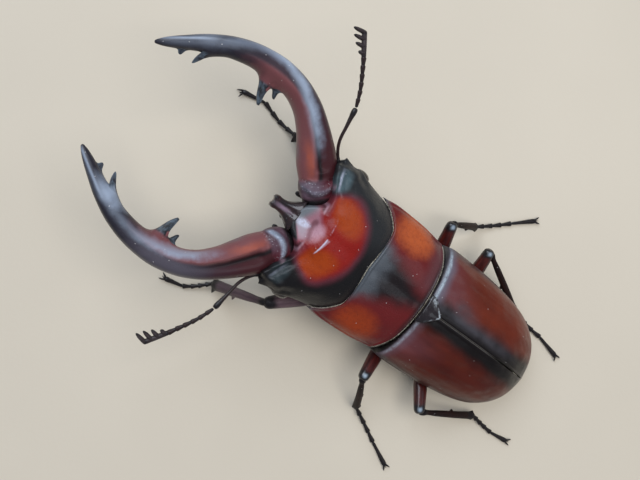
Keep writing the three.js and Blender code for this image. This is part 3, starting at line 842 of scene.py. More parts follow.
@dataclass(frozen=True)
class HeadFinish(Chitin):
    """Black head with two glowing orange patches on the crown and a dark red midline, with painted sheen,
    highlights and shade on the brow, the front corners and the right side.
    """

    black: Colour = rgb(20, 19, 21)
    red: Colour = rgb(126, 22, 16)
    orange: Colour = rgb(144, 55, 12)
    ember: Colour = rgb(92, 20, 12)
    # Wine: the dark red round the crown; also painted shade in the brow's hollow.
    wine: Colour = rgb(80, 36, 46)
    # Slate: a painted sky sheen on the black of the right side, and painted shade on the brow's front lip.
    slate: Colour = rgb(36, 38, 41)
    # Plum: the purple band behind the rim; also painted shade in the brow's channel.
    plum: Colour = rgb(102, 50, 60)
    # Rose, brow and front: the brow's tones, partly its own colour and partly a painted reflection of the
    # sky.
    rose: Colour = rgb(130, 66, 78)
    brow: Colour = rgb(146, 106, 120)
    front: Colour = rgb(106, 112, 120)
    # Sheen, haze and fold: painted highlights and reflection.
    sheen: Colour = rgb(184, 190, 214)
    haze: Colour = rgb(158, 160, 172)
    fold: Colour = rgb(188, 148, 164)
    # Teal and crest: painted reflection on the front corners and painted highlights on the rims and the
    # cross ridge.
    teal: Colour = rgb(92, 116, 126)
    crest: Colour = rgb(164, 132, 146)

    def paint(self, recipe: Recipe, place: Wire) -> Wire:
        """Black margins round a red crown that holds the two patches, with painted light and shade on the
        brow and the front corners.
        """
        x, y, z = place.split()
        drift = (recipe.noise(place, 0.35, 4, 0.6) - 0.5) * 1.4
        mottled = recipe.noise(place, 1.3, 4, 0.7)
        side = abs(x)
        crown = self.crown(x, y, drift)
        inward = (side - 4.1) * -0.64 + (y + 18.9) * 0.77
        outward = (side - 4.1) * 0.77 + (y + 18.9) * 0.64
        glow = ((inward / 3.4) ** 2 + (outward / 2.4) ** 2 + drift * 0.5).rise(1.5, 0)
        verge = (self.past_rim(side, y) + drift * 0.3).rise(1.4, 0.1) * side.rise(2, 3.4)
        warm = recipe.layers(self.red, (glow * side.rise(0.2, 2.4), self.orange),
                             (mottled.rise(0.4, 0.8) * 0.3, self.ember), (verge * 0.85, self.plum))
        edge = recipe.blend(crown.rise(0.35, 0.95), self.wine, warm)
        # The black margins turn slate towards the beetle's right side: a painted sheen of the sky.
        black = recipe.blend(x.rise(1, -5), self.black, self.slate)
        skin = recipe.blend(crown.rise(0, 0.55), black, edge)
        skin = self.dust_brow(recipe, place, self.dust_corner(recipe, place, skin), drift)
        return recipe.blend(z.rise(-0.1, -1.1), skin, self.black)

    def past_rim(self, side: Wire, y: Wire) -> Wire:
        """How far behind the rim over the jaw's socket a place is."""
        return y + 22.3 + (side - 4.3).most(0) * 0.3

    def crown(self, x: Wire, y: Wire, drift: Wire) -> Wire:
        """The coloured part of the crown, 1 well inside it and 0 on the black margins."""
        side = abs(x)
        dome = ((side / 8.6) ** 2 + ((y + 20.4) / 7.2) ** 2 + drift * 0.12).rise(1.12, 0.37)
        corner = (side - (y + 19.5) * 0.9 + drift * 0.5 - x.rise(1, -1)).rise(9, 5.6)
        return dome * corner * self.past_rim(side, y).rise(-0.5, 0.3).most(side.rise(3.4, 2.4))

    def dust_corner(self, recipe: Recipe, place: Wire, skin: Wire) -> Wire:
        """Lays painted highlights: the blue-green sheen and a bright stroke on the front corners, stronger
        on the right side, and the pale highlight line on the socket's rim.
        """
        x, y, _ = place.split()
        side = abs(x)
        cloud = recipe.noise(place, 0.8, 3, 0.6)
        # Painted light is stronger on the beetle's right side, where the light falls.
        right = x.rise(3, -3)
        # Facet: a painted blue-green reflection; lip: a painted highlight stroke; line: a painted highlight
        # along the rim.
        facet = spot(side, y, (8.2, -22.5), (2.4, 1.6)) * (0.2 + cloud * 0.9)
        lip = (y + 22.3 + (side - 6.8) * 0.35).near(0, 0.4) * side.rise(6.2, 7.4) * side.rise(10.4, 8.6)
        line = self.past_rim(side, y).near(0.05, 0.26) * side.rise(2.1, 2.9) * side.rise(7.6, 6.4)
        return recipe.layers(
            skin,
            ((facet * (0.2 + right * 0.45)).held(), self.teal),
            (lip * (0.2 + right * 0.4) * cloud.rise(0.2, 0.6), self.sheen),
            (line * (0.3 + cloud * 0.6), self.crest))

    def dust_brow(self, recipe: Recipe, place: Wire, skin: Wire, drift: Wire) -> Wire:
        """Lays the brow's painted reflection and highlights, and its painted shade in the hollow, the
        channel and along the front lip.
        """
        x, y, _ = place.split()
        side = abs(x)
        fine = recipe.noise(place, 2.6, 5, 0.75)
        # Brow marks the hollow brow, whose tones are partly a painted reflection of the sky.
        brow = (y + side.least(2.9) * 0.76 + drift * 0.3).rise(-19.9, -21.4) * side.rise(5.4, 3.6)
        # Hollow: painted shade in the dip of the brow.
        hollow = spot(x - y * 0.3, y, (6.2, -22.25), (1.1, 0.55))
        # Fold: a painted highlight on the fold behind the hollow.
        fold = spot(x + y * 0.3, y, (-5.95, -21.4), (1.9, 1.1))
        ruffle = (fine - 0.5) * 1.1
        # Lip runs along the front edge, where shade is painted; the plate behind it takes the painted lilac
        # reflection.
        lip = y - x * 0.74 + 25.1
        dip = y - x * 0.27 + 22.43 + ruffle
        plate = lip.rise(-0.1, 0.35) * dip.rise(0.1, -1.1) * (x + ruffle).rise(-0.9, 0.5) * x.rise(3.2, 1.6)
        # Channel: painted shade in the groove beside the plate.
        channel = (dip - ruffle * 0.5).near(0, 0.55) * x.rise(-0.6, 0.5) * x.rise(2.8, 1.6)
        # Glint: a painted highlight on the plate.
        glint = spot(x + y * 0.1 + ruffle * 0.5, y, (-2.1, -23.6), (0.75, 1.3)) * fine.rise(0.2, 0.7)
        # Wedge and thread: painted highlights on the cross ridge.
        lift = y + 19.88 + x * 0.12
        wedge = lift.rise(-0.1, 0.06) * (lift - (3.3 - x) * 0.19).rise(0.16, -0.12)
        wedge = wedge * x.rise(0.1, 0.5) * x.rise(3.4, 2.8)
        thread = (y + 19.82 - x * 0.1).near(0, 0.17) * x.rise(-0.3, -0.8) * x.rise(-3.4, -2.4)
        # Front: a painted grey-teal reflection on the forward-facing front of the brow.
        return recipe.layers(
            skin,
            (brow.rise(0, 0.6), self.rose),
            (brow.rise(0.45, 1) * (0.7 + fine * 0.4), self.brow),
            ((y + x * 0.3).rise(-23.2, -24.6) * brow, self.front),
            (hollow * 0.65, self.wine),
            ((fold * (0.1 + fine * 0.75)).held(), self.fold),
            (plate * (x.rise(3.6, -0.4) * 0.6 + fine * 0.4), self.haze),
            (channel * 0.7, self.plum),
            (glint, self.sheen),
            (lip.rise(0.1, -0.3) * x.rise(-0.4, 0.4) * x.rise(3.3, 2.7), self.slate),
            (wedge * 0.7, self.crest),
            (wedge * lift.rise(0.26, 0.06) * 0.8, self.sheen),
            (thread * fine.rise(0.45, 0.65) * 0.7, self.crest))


@dataclass(frozen=True)
class PronotumFinish(Chitin):
    """Black pronotum with an orange-brown patch on either side, with a painted sky sheen on the front and
    painted light on the right side.
    """

    black: Colour = rgb(24, 18, 20)
    # Slate: a painted sky sheen on the black front.
    slate: Colour = rgb(74, 80, 88)
    red: Colour = rgb(92, 24, 26)
    orange: Colour = rgb(138, 52, 20)
    # Bright and mauve: painted light on the right patch and a painted sheen on the right hind part.
    bright: Colour = rgb(166, 80, 42)
    mauve: Colour = rgb(82, 58, 64)
    ember: Colour = rgb(84, 24, 18)

    def paint(self, recipe: Recipe, place: Wire) -> Wire:
        """Black along the middle and the front, red to orange at either side; the front's slate and the
        right side's lighter tones are painted light.
        """
        x, y, _ = place.split()
        drift = (recipe.noise(place, 0.4, 4, 0.6) - 0.5) * 1.6
        side = abs(x)
        inner = (side + drift + (y + 6) * 0.4).rise(1, 4.4)
        ahead = (y + drift + side * 0.5).rise(-9.6, -7)
        hind = (y + drift * 0.4).rise(-0.3, -1.8)
        glow = (((side - 8.5) / 3.2) ** 2 + ((y + 7.2) / 3.9) ** 2 + drift * 0.5).rise(1.5, 0)
        mottled = recipe.noise(place, 1.6, 4, 0.7)
        # The right patch is painted brighter and its hind part mauve: painted light on the side the light
        # falls on.
        orange = recipe.blend(x.rise(2, -6), self.orange, self.bright)
        warm = recipe.layers(self.red, (glow, orange), (mottled.rise(0.4, 0.8) * 0.35, self.ember),
                             (x.rise(0, -4) * y.rise(-4.4, -1.6) * 0.6, self.mauve))
        # The black front turns slate: a painted sky sheen.
        dull = recipe.blend((y + drift * 2).rise(-7, -10.6) * 0.95, self.black, self.slate)
        return recipe.blend(inner * ahead * hind, dull, warm)


@dataclass(frozen=True)
class WingCaseFinish(Chitin):
    """Garnet wing cases, darker along the seam, the margin and the base, painted lighter on the right and
    with painted sheen and highlights.
    """

    garnet: Colour = rgb(60, 17, 12)
    # Light: the lighter red of the streaks, also painted light on the right side.
    light: Colour = rgb(116, 44, 20)
    seam: Colour = rgb(14, 9, 9)
    # Slate: a painted sky sheen on the right, over the seam and in a patch.
    slate: Colour = rgb(58, 56, 62)
    # Seam line: a painted highlight on the seam's rim.
    seam_line: Colour = rgb(140, 136, 134)
    # Plum: a painted sheen near the base.
    plum: Colour = rgb(94, 54, 60)
    # A soft painted sheen just behind the base strip.
    bloom: Colour = rgb(94, 100, 116)
    # Sheen: a painted highlight on the base strip.
    sheen: Colour = rgb(160, 178, 192)

    def paint(self, recipe: Recipe, place: Wire) -> Wire:
        """Red-brown with soft lengthwise streaks and a dark seam, painted lighter on the right, with painted
        sheen near the seam and the base and painted highlights on the base and the seam.
        """
        x, y, _ = place.split()
        streak = recipe.noise(recipe.stretched(place, 0.45, 0.07, 0.4), 1, 2, 0.5)
        cloud = recipe.noise(place, 0.22, 3, 0.5)
        right = x.rise(0.4, -0.4)
        # Lit: lengthwise streaks, plus painted light that makes the right side lighter.
        lit = (streak * 0.6 + cloud * 0.6 - 0.3).held() * 0.8 + right * 0.28 - 0.04
        wander = (cloud - 0.5) * 1.2
        side = abs(x)
        behind = y + side * side * 0.0045
        dark = (side + wander - y * 0.02 - right * 0.2).rise(3.5, 1.2).most(behind.rise(0.8, 0.3))
        dark = dark.most(y.rise(23.5, 27.4) * 0.35).most((side + wander * 0.5).rise(9.4, 10.8) * 0.7)
        # Plum: a painted sky sheen near the base, reaching the seam on the right side.
        plum = (y + side * 0.8 + wander * 2).rise(14, 5)
        plum = plum * 0.75 * side.rise(2, 6.5).most(right)
        # A painted patch of slate sheen on the right wing case.
        sheen_patch = right * side.near(3.4, 1.9) * y.near(5, 5.5) * cloud.rise(0.4, 0.62)
        # The dark seam turns slate on the right: a painted sky reflection.
        bluish = right * cloud.rise(0.25, 0.6) * y.rise(23, 12) * side.rise(0.3, 1.6)
        band = recipe.blend(bluish, self.seam, self.slate)
        grain = recipe.noise(recipe.stretched(place, 1.3, 2.4, 1.6), 1, 6, 0.85)
        # Skirt: a painted soft sheen behind the base, stronger on the right.
        skirt = (behind + wander * 0.6).rise(2.5, 0.8) * behind.rise(0.3, 0.6) * side.rise(1.2, 2.6)
        # Strip: a painted highlight along the base, broken by grain, stronger on the right.
        strip = behind.near(0.78, 0.42) * side.rise(10.8, 9) * grain.rise(0.3, 0.62)
        # Line: a painted highlight along the seam's raised rim.
        line = side.rise(0.17, 0.09) * y.rise(20, 12)
        return recipe.layers(
            self.garnet, (lit.held(), self.light), (plum, self.plum), (sheen_patch * 0.7, self.slate),
            (dark, band), (skirt * (0.25 + right * 0.45), self.bloom),
            (strip * (0.4 + right * 0.5), self.sheen), (line * 0.75, self.seam_line))

    def relief(self, recipe: Recipe, place: Wire) -> list[tuple[Wire, float]]:
        """Fine dense pits and faint lengthwise lines."""
        lines = recipe.noise(recipe.stretched(place, 1.2, 0.07, 0.8), 1, 1, 0.4)
        waves = recipe.noise(recipe.stretched(place, 0.3, 0.14, 0.3), 1, 2, 0.4)
        fine = recipe.cells(place, 4.2).rise(0, 0.5)
        return [(waves, 0.9), (lines, 0.05), (fine, self.pit_depth),
                (recipe.noise(place, 10, 4, 0.6), self.grain)]


@dataclass(frozen=True)
class JawFinish(Chitin):
    """Wine-red jaws, brightest inside near the base, purple-grey outside and black at the tips, with painted
    sheen, highlights and shade.
    """

    inner: Colour = rgb(110, 66, 70)
    outer: Colour = rgb(50, 36, 46)
    # Purple-grey of the painted sky reflection on the left jaw's outer face.
    smoke: Colour = rgb(80, 78, 90)
    root: Colour = rgb(58, 24, 29)
    ember: Colour = rgb(156, 80, 62)
    tip: Colour = rgb(34, 32, 42)
    # Blue-grey painted sheen on the teeth.
    steel: Colour = rgb(84, 98, 112)
    knuckle: Colour = rgb(80, 58, 70)
    rust: Colour = rgb(78, 22, 32)
    # Near black: the teeth's own black, and painted shade in the groove and the socket.
    groove: Colour = rgb(14, 10, 12)
    # Pale painted sparkle highlights on the knuckle.
    grains: Colour = rgb(206, 210, 220)
    # Painted sheen and highlights on the crest, the tips and the knuckle.
    satin: Colour = rgb(148, 162, 184)

    def place(self, recipe: Recipe) -> Wire:
        """The place on the straight jaw: inward, along, up."""
        return recipe.form()

    def paint(self, recipe: Recipe, place: Wire) -> Wire:
        """Red to black along the jaw, with painted shade in the groove, and painted sheen and highlights
        along the crest, on the teeth and near the tips.
        """
        x, along, z = place.split()
        cloud = recipe.noise(place, 0.5, 4, 0.6)
        drift = cloud - 0.5
        inward = (x + drift * 0.5).rise(0, 0.7) * z.rise(-1.6, 0.2)
        right = recipe.body_place().split()[0].rise(1, -1)
        # The left jaw's outer face turns purple-grey: a painted reflection of the sky.
        outside = recipe.blend((1 - right) * along.rise(10, 17) * 0.8, self.outer, self.smoke)
        outside = recipe.blend((along + drift * 6).rise(14, 6), outside, self.root)
        bright = (along + drift * 4).near(5.4, 4.4) * (x + drift).near(1.5, 1)
        inside = recipe.blend(bright * 0.75, self.inner, self.ember)
        # Groove: painted shade in the channel beside the ridge.
        groove = x.near(-0.1, 0.6) * z.rise(0.4, 1.2) * along.rise(17, 6)
        # Band: a painted sheen along the crest, set on the side of each jaw that faces the light.
        left_line = 1.7 - (along - 13).most(0) * 0.11
        right_line = -0.1 - along.near(22, 10) * 1.6
        middle = left_line + right * (right_line - left_line)
        band = ((x - middle + drift) / (1.1 + right * 0.35)).near(0, 1) * z.rise(0.2, 1)
        band = band * (along + drift * 4 + right * 4).rise(8, 16)
        band = band * (0.72 + right * 0.15 + drift * 0.7) * (1 - along.near(25, 5) * 0.5)
        band = band * (1 - along.rise(23, 31) * 0.8)
        # Brace and streak: painted highlights near the tips, on the faces turned to the light.
        facing = x * (1 - right * 2)
        brace = (along + drift * 3).near(30.4, 4.4) * z.rise(-0.2, 0.7) * (facing + drift).rise(-1.2, 0.5)
        streak = (x + 0.3 + right * 0.3).near(0, 0.34) * along.rise(29, 32) * z.rise(0, 0.4)
        # The teeth's blue-grey is a painted sheen, in random patches on the distal teeth and lighter on the
        # upper side of the others.
        blade = recipe.blend((drift + 0.5).rise(0.3, 0.7), self.tip, self.steel)
        steel = recipe.blend(cloud.rise(0.3, 0.75) * z.rise(-0.4, 0.4), self.groove, self.steel)
        base = recipe.layers(
            outside, (inward, inside), (groove * 0.9, self.groove),
            ((along + drift * 5).rise(20, 27), self.tip),
            (band.most(brace * (0.85 - right * 0.5)).held(), self.satin), (streak * 0.6, self.satin),
            (x.rise(2, 5.6) * along.rise(22, 24), blade),
            (x.rise(2.4, 3.4) * along.rise(4, 8) * along.rise(24, 23), steel))
        return self.paint_knuckle(recipe, place, base, drift, right)

    def paint_knuckle(self, recipe: Recipe, place: Wire, base: Wire, drift: Wire,
                      right: Wire) -> Wire:
        """Covers the jaw's root with the mauve fold, a painted highlight on its crest, painted sparkle on
        its rings and painted shade in the socket.
        """
        x, along, z = place.split()
        skin = recipe.blend((x + drift).rise(0.4, -1.4) * 0.8, self.knuckle, self.rust)
        # Painted shade deep in the socket, behind the knuckle.
        skin = recipe.blend(along.rise(-0.5, -1.3), skin, self.groove)
        top = z.rise(0.3, 1.3)
        bow = along + 0.05 - (x - 0.2) ** 2 * 0.17
        # Crest and flank: painted highlights on the knuckle's upper side.
        crest = bow.near(0, 0.75) * x.rise(-2.4, -1) * (1 - right * 0.7)
        flank = spot(x, along, (1.8, 0.7), (2.2, 1.5)) * right * 0.08
        fine = recipe.noise(place, 2.2, 5, 0.75).rise(0.3, 0.66)
        # Spark and ring: painted sparkle highlights on the upper side of the knuckle's rings.
        spark = recipe.cells(place, 3.6).rise(0.34, 0.12) * fine
        ring = (bow - 1.1).near(0, 0.5).most(bow.near(0, 0.6))
        return recipe.layers(
            base, ((along + drift * 1.2).rise(2.2, 1.3), skin),
            ((crest * (0.6 + fine * 0.4)).most(flank) * top, self.satin),
            (ring * top * spark, self.grains))

    def relief(self, recipe: Recipe, place: Wire) -> list[tuple[Wire, float]]:
        """Folds and granules on the knuckle, fine crackle along the jaw."""
        x, along, _ = place.split()
        ring = along.rise(2.4, 1.5)
        bow = along - (x - 0.2) ** 2 * 0.19
        folds = (recipe.noise(place, 0.6, 2, 0.5) * 3 + bow * 3.4).wave() * ring
        granules = recipe.cells(place, 2.8).rise(0.5, 0.05) * (0.25 + ring * 0.5)
        crackle = recipe.noise(place, 3.6, 5, 0.7)
        return [(folds, 0.16), (granules, 0.05), (crackle, 0.04)]


@dataclass(frozen=True)
class BlackShell(Chitin):
    """Glossy black shell with a warm edge to it."""

    black: Colour = rgb(28, 24, 27)
    warm: Colour = rgb(58, 34, 34)

    def paint(self, recipe: Recipe, place: Wire) -> Wire:
        """Black with a clouded warmth."""
        return recipe.blend(recipe.noise(place, 0.7, 3, 0.6).rise(0.35, 0.9), self.black, self.warm)


@dataclass(frozen=True)
class ScutellumFinish(BlackShell):
    """Black shell with a painted highlight line along its two hind edges and a painted glint near its front.
    """

    # Line: the colour of the painted highlight.
    line: Colour = rgb(178, 188, 198)
    warm: Colour = rgb(40, 32, 38)

    def paint(self, recipe: Recipe, place: Wire) -> Wire:
        """Black with the painted highlight line, brightest at the tip, and a painted glint near the front.
        """
        x, y, _ = place.split()
        # A painted highlight along the hind edges, and a painted glint near the front right corner.
        edge_glint = (abs(x) + (y - 0.6) * 0.95).near(2.2, 0.34) * y.rise(0.6, 2.6)
        edge_glint = edge_glint.most(((x + 1.7) ** 2 + (y - 0.7) ** 2).rise(0.9, 0.1) * 0.8)
        grain = recipe.noise(place, 1.5, 4, 0.7).rise(0.42, 0.66)
        return recipe.blend(edge_glint * grain * 0.8, super().paint(recipe, place), self.line)


@dataclass(frozen=True)
class ClypeusFinish(BlackShell):
    """Black shell with a painted lilac highlight down the trough."""

    # Lilac of the painted highlight.
    bloom: Colour = rgb(150, 128, 150)

    def paint(self, recipe: Recipe, place: Wire) -> Wire:
        """Black with the painted highlight."""
        x, y, _ = place.split()
        grain = recipe.noise(place, 1.6, 4, 0.7)
        # Trough: a painted lilac highlight down the middle.
        trough = (abs(x - 0.15) + (grain - 0.5) * 0.5).rise(0.5, 0.1) * (y + grain).near(-26.6, 2.2)
        return recipe.blend(trough * (0.25 + grain * 0.6), super().paint(recipe, place), self.bloom)


@dataclass(frozen=True)
class LimbFinish(Chitin):
    """A leg's shell: its own colour along the shaft, black and glossy at both ends, and a painted highlight
    on the knee where knee is set.
    """

    shaft: Colour = rgb(96, 38, 34)
    shade: Colour = rgb(52, 24, 26)
    ends: Colour = rgb(22, 19, 22)
    glint: Colour = rgb(178, 198, 218)
    start: float = 0.12
    stop: float = 0.86
    # Strength of a painted highlight on the knee's top; 0 leaves it out.
    knee: float = 0

    def place(self, recipe: Recipe) -> Wire:
        """The place on the straight limb, its length running from 0 to 10."""
        return recipe.form()

    def paint(self, recipe: Recipe, place: Wire) -> Wire:
        """Coloured between the black ends, with lengthwise streaks and, where knee is set, a painted
        highlight on the knee.
        """
        x, along, z = place.split()
        streak = recipe.noise(recipe.stretched(place, 2, 0.25, 2), 1, 4, 0.6)
        colour = recipe.blend(streak.rise(0.3, 0.75), self.shade, self.shaft)
        drift = (recipe.noise(place, 0.9, 3, 0.5) - 0.5) * 1.2
        share = along * 0.1
        black = (share + drift * 0.1).rise(self.start + 0.06, self.start - 0.06)
        black = black.most((share + drift * 0.1).rise(self.stop - 0.07, self.stop + 0.05))
        colour = recipe.blend(black, colour, self.ends)
        if not self.knee:
            return colour
        # A painted highlight on the top of the knee.
        spot = (along + drift * 0.6).near(9.45, 0.6) * z.rise(0.35, 0.9) * x.near(0.1, 0.65)
        return recipe.blend(spot * self.knee, colour, self.glint)

    def relief(self, recipe: Recipe, place: Wire) -> list[tuple[Wire, float]]:
        """Pits and lengthwise scratches."""
        lines = recipe.noise(recipe.stretched(place, 4, 0.4, 4), 1, 3, 0.6)
        return [(lines, 0.06), (recipe.cells(place, 3.2).rise(0, 0.5), self.pit_depth)]


@dataclass(frozen=True)
class EyeFinish(Chitin):
    """A dark eye with tiny facets."""

    black: Colour = rgb(16, 13, 14)
    amber: Colour = rgb(52, 30, 22)

    def paint(self, recipe: Recipe, place: Wire) -> Wire:
        """Black with a little amber."""
        return recipe.blend(recipe.noise(place, 1.2, 2, 0.5).rise(0.4, 0.9), self.black, self.amber)

    def relief(self, recipe: Recipe, place: Wire) -> list[tuple[Wire, float]]:
        """Close-packed domed facets."""
        return [(recipe.cells(place, 9).rise(0.6, 0), 0.03)]


@dataclass(frozen=True)
class HairFinish:
    """Pale, faintly golden hairs."""

    name: str
    root: Colour = rgb(136, 130, 116)
    tip: Colour = rgb(206, 204, 194)

    def make(self) -> Material:
        """Makes the material."""
        recipe = Recipe(self.name)
        place = recipe.body_place()
        shade = recipe.noise(place, 2.5, 2, 0.5).rise(0.3, 0.7)
        return recipe.finish(recipe.blend(shade, self.root, self.tip), 0.45 + shade * 0.1,
                             [(recipe.noise(place, 20, 2, 0.5), 0.005)], Coat_Weight=0.2)


@dataclass(frozen=True)
class FloorFinish:
    """A plain pale floor."""

    name: str
    light: Colour = rgb(206, 199, 186)
    dark: Colour = rgb(194, 187, 174)

    def make(self) -> Material:
        """Makes the material."""
        recipe = Recipe(self.name)
        place = recipe.stretched(recipe.add("ShaderNodeTexCoord", {}, {}, "Object"), *(1 / MM,) * 3)
        cloud = recipe.noise(place, 0.02, 3, 0.5)
        return recipe.finish(recipe.blend(cloud, self.dark, self.light), 0.75 + cloud * 0.1,
                             [(recipe.noise(place, 1.2, 3, 0.6), 0.02)])


# --- Plates of the trunk ---


def across(count: int, half: bool = False) -> list[float]:
    """Places from -1 to 1, or from 0 to 1 for a half, closer together towards the margins."""
    low = 0 if half else -math.pi / 2
    return [math.sin(lerp(low, math.pi / 2, i / (count - 1))) for i in range(count)]


@dataclass
class Plate:
    """A domed plate, given by how its width, margins, edge and crown run.

    Width, edge and crown run from the front margin at 0 to the hind one at 1; the two margins run
    from the middle line at 0 to the side at 1.
    """

    half_width: Profile
    front: Curve
    back: Curve
    edge: Curve
    crown: Curve
    arch: Arch
    columns: list[float]
    rows: list[float]
    seam: float = 0

    def spread(self, bench: Bench, arch: Arch, edge: Curve, crown: Curve) -> Sheet:
        """Shapes one face of the plate on the bench.

        Args:
            bench: Where it is made.
            arch: The arch across it.
            edge: Height of the margin along it.
            crown: Height of the middle along it.

        Returns:
            The sheet's columns and rows.
        """
        sheet = bench.sheet(self.columns, self.rows)
        for points, u in zip(sheet.columns, self.columns):
            bench.pick(points).move(z=arch(u))
        for points, v in zip(sheet.rows, self.rows):
            bench.pick(points).size(z=crown(v) - edge(v)).move(z=edge(v))
        for points, u in zip(sheet.columns, self.columns):
            front, back = self.front(abs(u)), self.back(abs(u))
            bench.pick(points).size(y=back - front).move(y=front)
        for points, v in zip(sheet.rows, self.rows):
            bench.pick(points).size(x=self.half_width(v) - self.seam).move(x=self.seam)
        return sheet

    def top(self, bench: Bench) -> Sheet:
        """Shapes the upper face."""
        return self.spread(bench, self.arch, self.edge, self.crown)

    def under(self, bench: Bench, arch: Arch, drop_edge: Curve, drop_crown: Curve) -> None:
        """Shapes the lower face and joins it to the upper one.

        Args:
            bench: Where the upper face already is.
            arch: The arch across the lower face.
            drop_edge: How far it lies below the margin.
            drop_crown: How far it lies below the crown.
        """
        sheet = self.spread(bench, arch, lambda v: self.edge(v) - drop_edge(v),
                            lambda v: self.crown(v) - drop_crown(v))
        bench.pick([i for row in sheet.rows for i in row])
        bpy.ops.mesh.flip_normals()
        bench.bridge()


def nearest(bench: Bench, spots: Iterable[tuple[float, float]]) -> list[int]:
    """The point of the mesh above each spot that is nearest to it, seen from above."""
    places = [(v.co.x, v.co.y, v.index) for v in bench.mesh().verts]
    return [min(places, key=lambda p: (p[0] - x) ** 2 + (p[1] - y) ** 2)[2] for x, y in spots]


def trace(line: Line, step: float = 0.3) -> list[tuple[float, float]]:
    """Spots a step apart along a broken line."""
    spots = [line[0]]
    for (x0, y0), (x1, y1) in zip(line, line[1:]):
        count = max(1, round(math.hypot(x1 - x0, y1 - y0) / step))
        spots += [(lerp(x0, x1, i / count), lerp(y0, y1, i / count)) for i in range(1, count + 1)]
    return spots


@dataclass(frozen=True)
class Crease:
    """A ridge, or a groove where its height is negative, along a line on a plate."""

    line: tuple[tuple[float, float], ...]
    height: float
    reach: float
    both: bool = True

    def press(self, bench: Bench) -> None:
        """Presses it into the sheet on the bench."""
        for sign in (1, -1) if self.both else (1,):
            spots = [(x * sign, y) for x, y in trace(self.line)]
            bench.pick(set(nearest(bench, spots))).move(z=self.height, reach=self.reach)


@dataclass
class Head:
    """The broad head with its hollow brow, raised rims, ear-like side lobes and eyes."""

    finish: Chitin
    eye_finish: Chitin
    eye_centre: Point = (10.75, -19.6, -0.9)
    eye_radii: Point = (1.05, 1.6, 1.25)
    half_width: Profile = Profile((0, 11.5), (0.1, 11.4), (0.3, 11.5), (0.45, 11), (0.65, 10.6),
                                  (1, 10.1))
    front: Profile = Profile((0, -25.2), (0.12, -25), (0.21, -24.1), (0.3, -22.7), (0.4, -22.1),
                             (0.5, -22.4), (0.61, -23.2), (0.74, -24), (0.86, -24.4),
                             (0.95, -24.1), (1, -23.3))
    neck: Profile = Profile((0, -10.9), (0.35, -10.6), (0.62, -10.5), (0.84, -11.5), (1, -13))
    edge: Profile = Profile((0, 0.6), (0.3, 0.45), (0.7, -0.5), (1, -1.4))
    crown: Profile = Profile((0, 2.3), (0.33, 4), (0.6, 4.5), (0.82, 4.1), (1, 3))
    depth: Profile = Profile((0, 2.4), (0.3, 3.5), (1, 3.6))
    brow: tuple[Crease, ...] = (
        Crease(((0, -24.3), (0, -23.2)), -1.7, 4, both=False),
        Crease(((2.6, -21.8), (4.1, -21.7), (5.6, -22.2), (7.1, -23), (8.6, -23.7), (9.9, -23.9)),
               0.4, 0.8),
        Crease(((6.4, -21.9), (7.6, -22.4), (8.8, -22.9), (9.7, -23.1)), -0.34, 0.75),
        Crease(((7.6, -21.3), (8.6, -21.9), (9.4, -22.5), (9.9, -23.2)), 0.22, 0.85),
        Crease(((0.4, -19.85), (3.15, -20.2)), 0.34, 0.5, both=False),
        Crease(((-0.6, -19.87), (-3, -20.12)), 0.2, 0.4, both=False),
        Crease(((-0.3, -21.1), (1.3, -21.4)), 0.12, 1.2, both=False),
        Crease(((10.2, -22.6), (10.2, -21.6)), 0.7, 1.5),
        Crease(((10.2, -19.9), (10.2, -19.3)), -0.35, 1.3),
        Crease(((0, -19), (0, -14.5)), -0.12, 1.7, both=False),
        Crease(((7.4, -18.6), (7.9, -16.4)), 0.25, 2.2),
        Crease(((6.1, -19.6), (6.9, -18.2)), -0.18, 1.2),
    )
    corner: tuple[tuple[tuple[float, float], Point, float], ...] = (
        ((10.7, -24.2), (-0.1, 0.55, -0.3), 0.8),
        ((11.45, -23.2), (0.25, -0.5, -0.1), 0.8),
        ((9.6, -24.3), (0.1, -0.25, 0.2), 0.9),
        ((11.3, -21.6), (-0.25, 0, 0), 0.8),
    )

    def build(self) -> None:
        """Shapes the head shell and the eyes."""
        bench = Bench("head_shell")
        plate = Plate(self.half_width, self.front, self.neck, self.edge, self.crown,
                      Arch(2.8, 0.66), across(67), even(0, 1, 45))
        plate.top(bench)
        for crease in self.brow:
            crease.press(bench)
        for sign in (1, -1):
            for spot, push, reach in self.corner:
                bench.pick(nearest(bench, [(spot[0] * sign, spot[1])]))
                bench.move(push[0] * sign, *push[1:], reach)
        plate.under(bench, Arch(2.2, 0.6), lambda v: 0.6,
                    lambda v: self.crown(v) - self.edge(v) + 0.6 + self.depth(v))
        bench.deliver(self.finish.make(), "head_shell", "head")
        self.build_eyes()

    def build_eyes(self) -> None:
        """Shapes the left eye and mirrors it."""
        bench = Bench("eye_ball_left")
        bpy.ops.mesh.primitive_ico_sphere_add(subdivisions=4, radius=1)
        bench.size(*self.eye_radii).move(*self.eye_centre)
        bench.pick_where(lambda p: p.x > 11.2).move(x=0.12, reach=0.8)
        present_both(bench.leave(), self.eye_finish.make(), "eye", "eye")


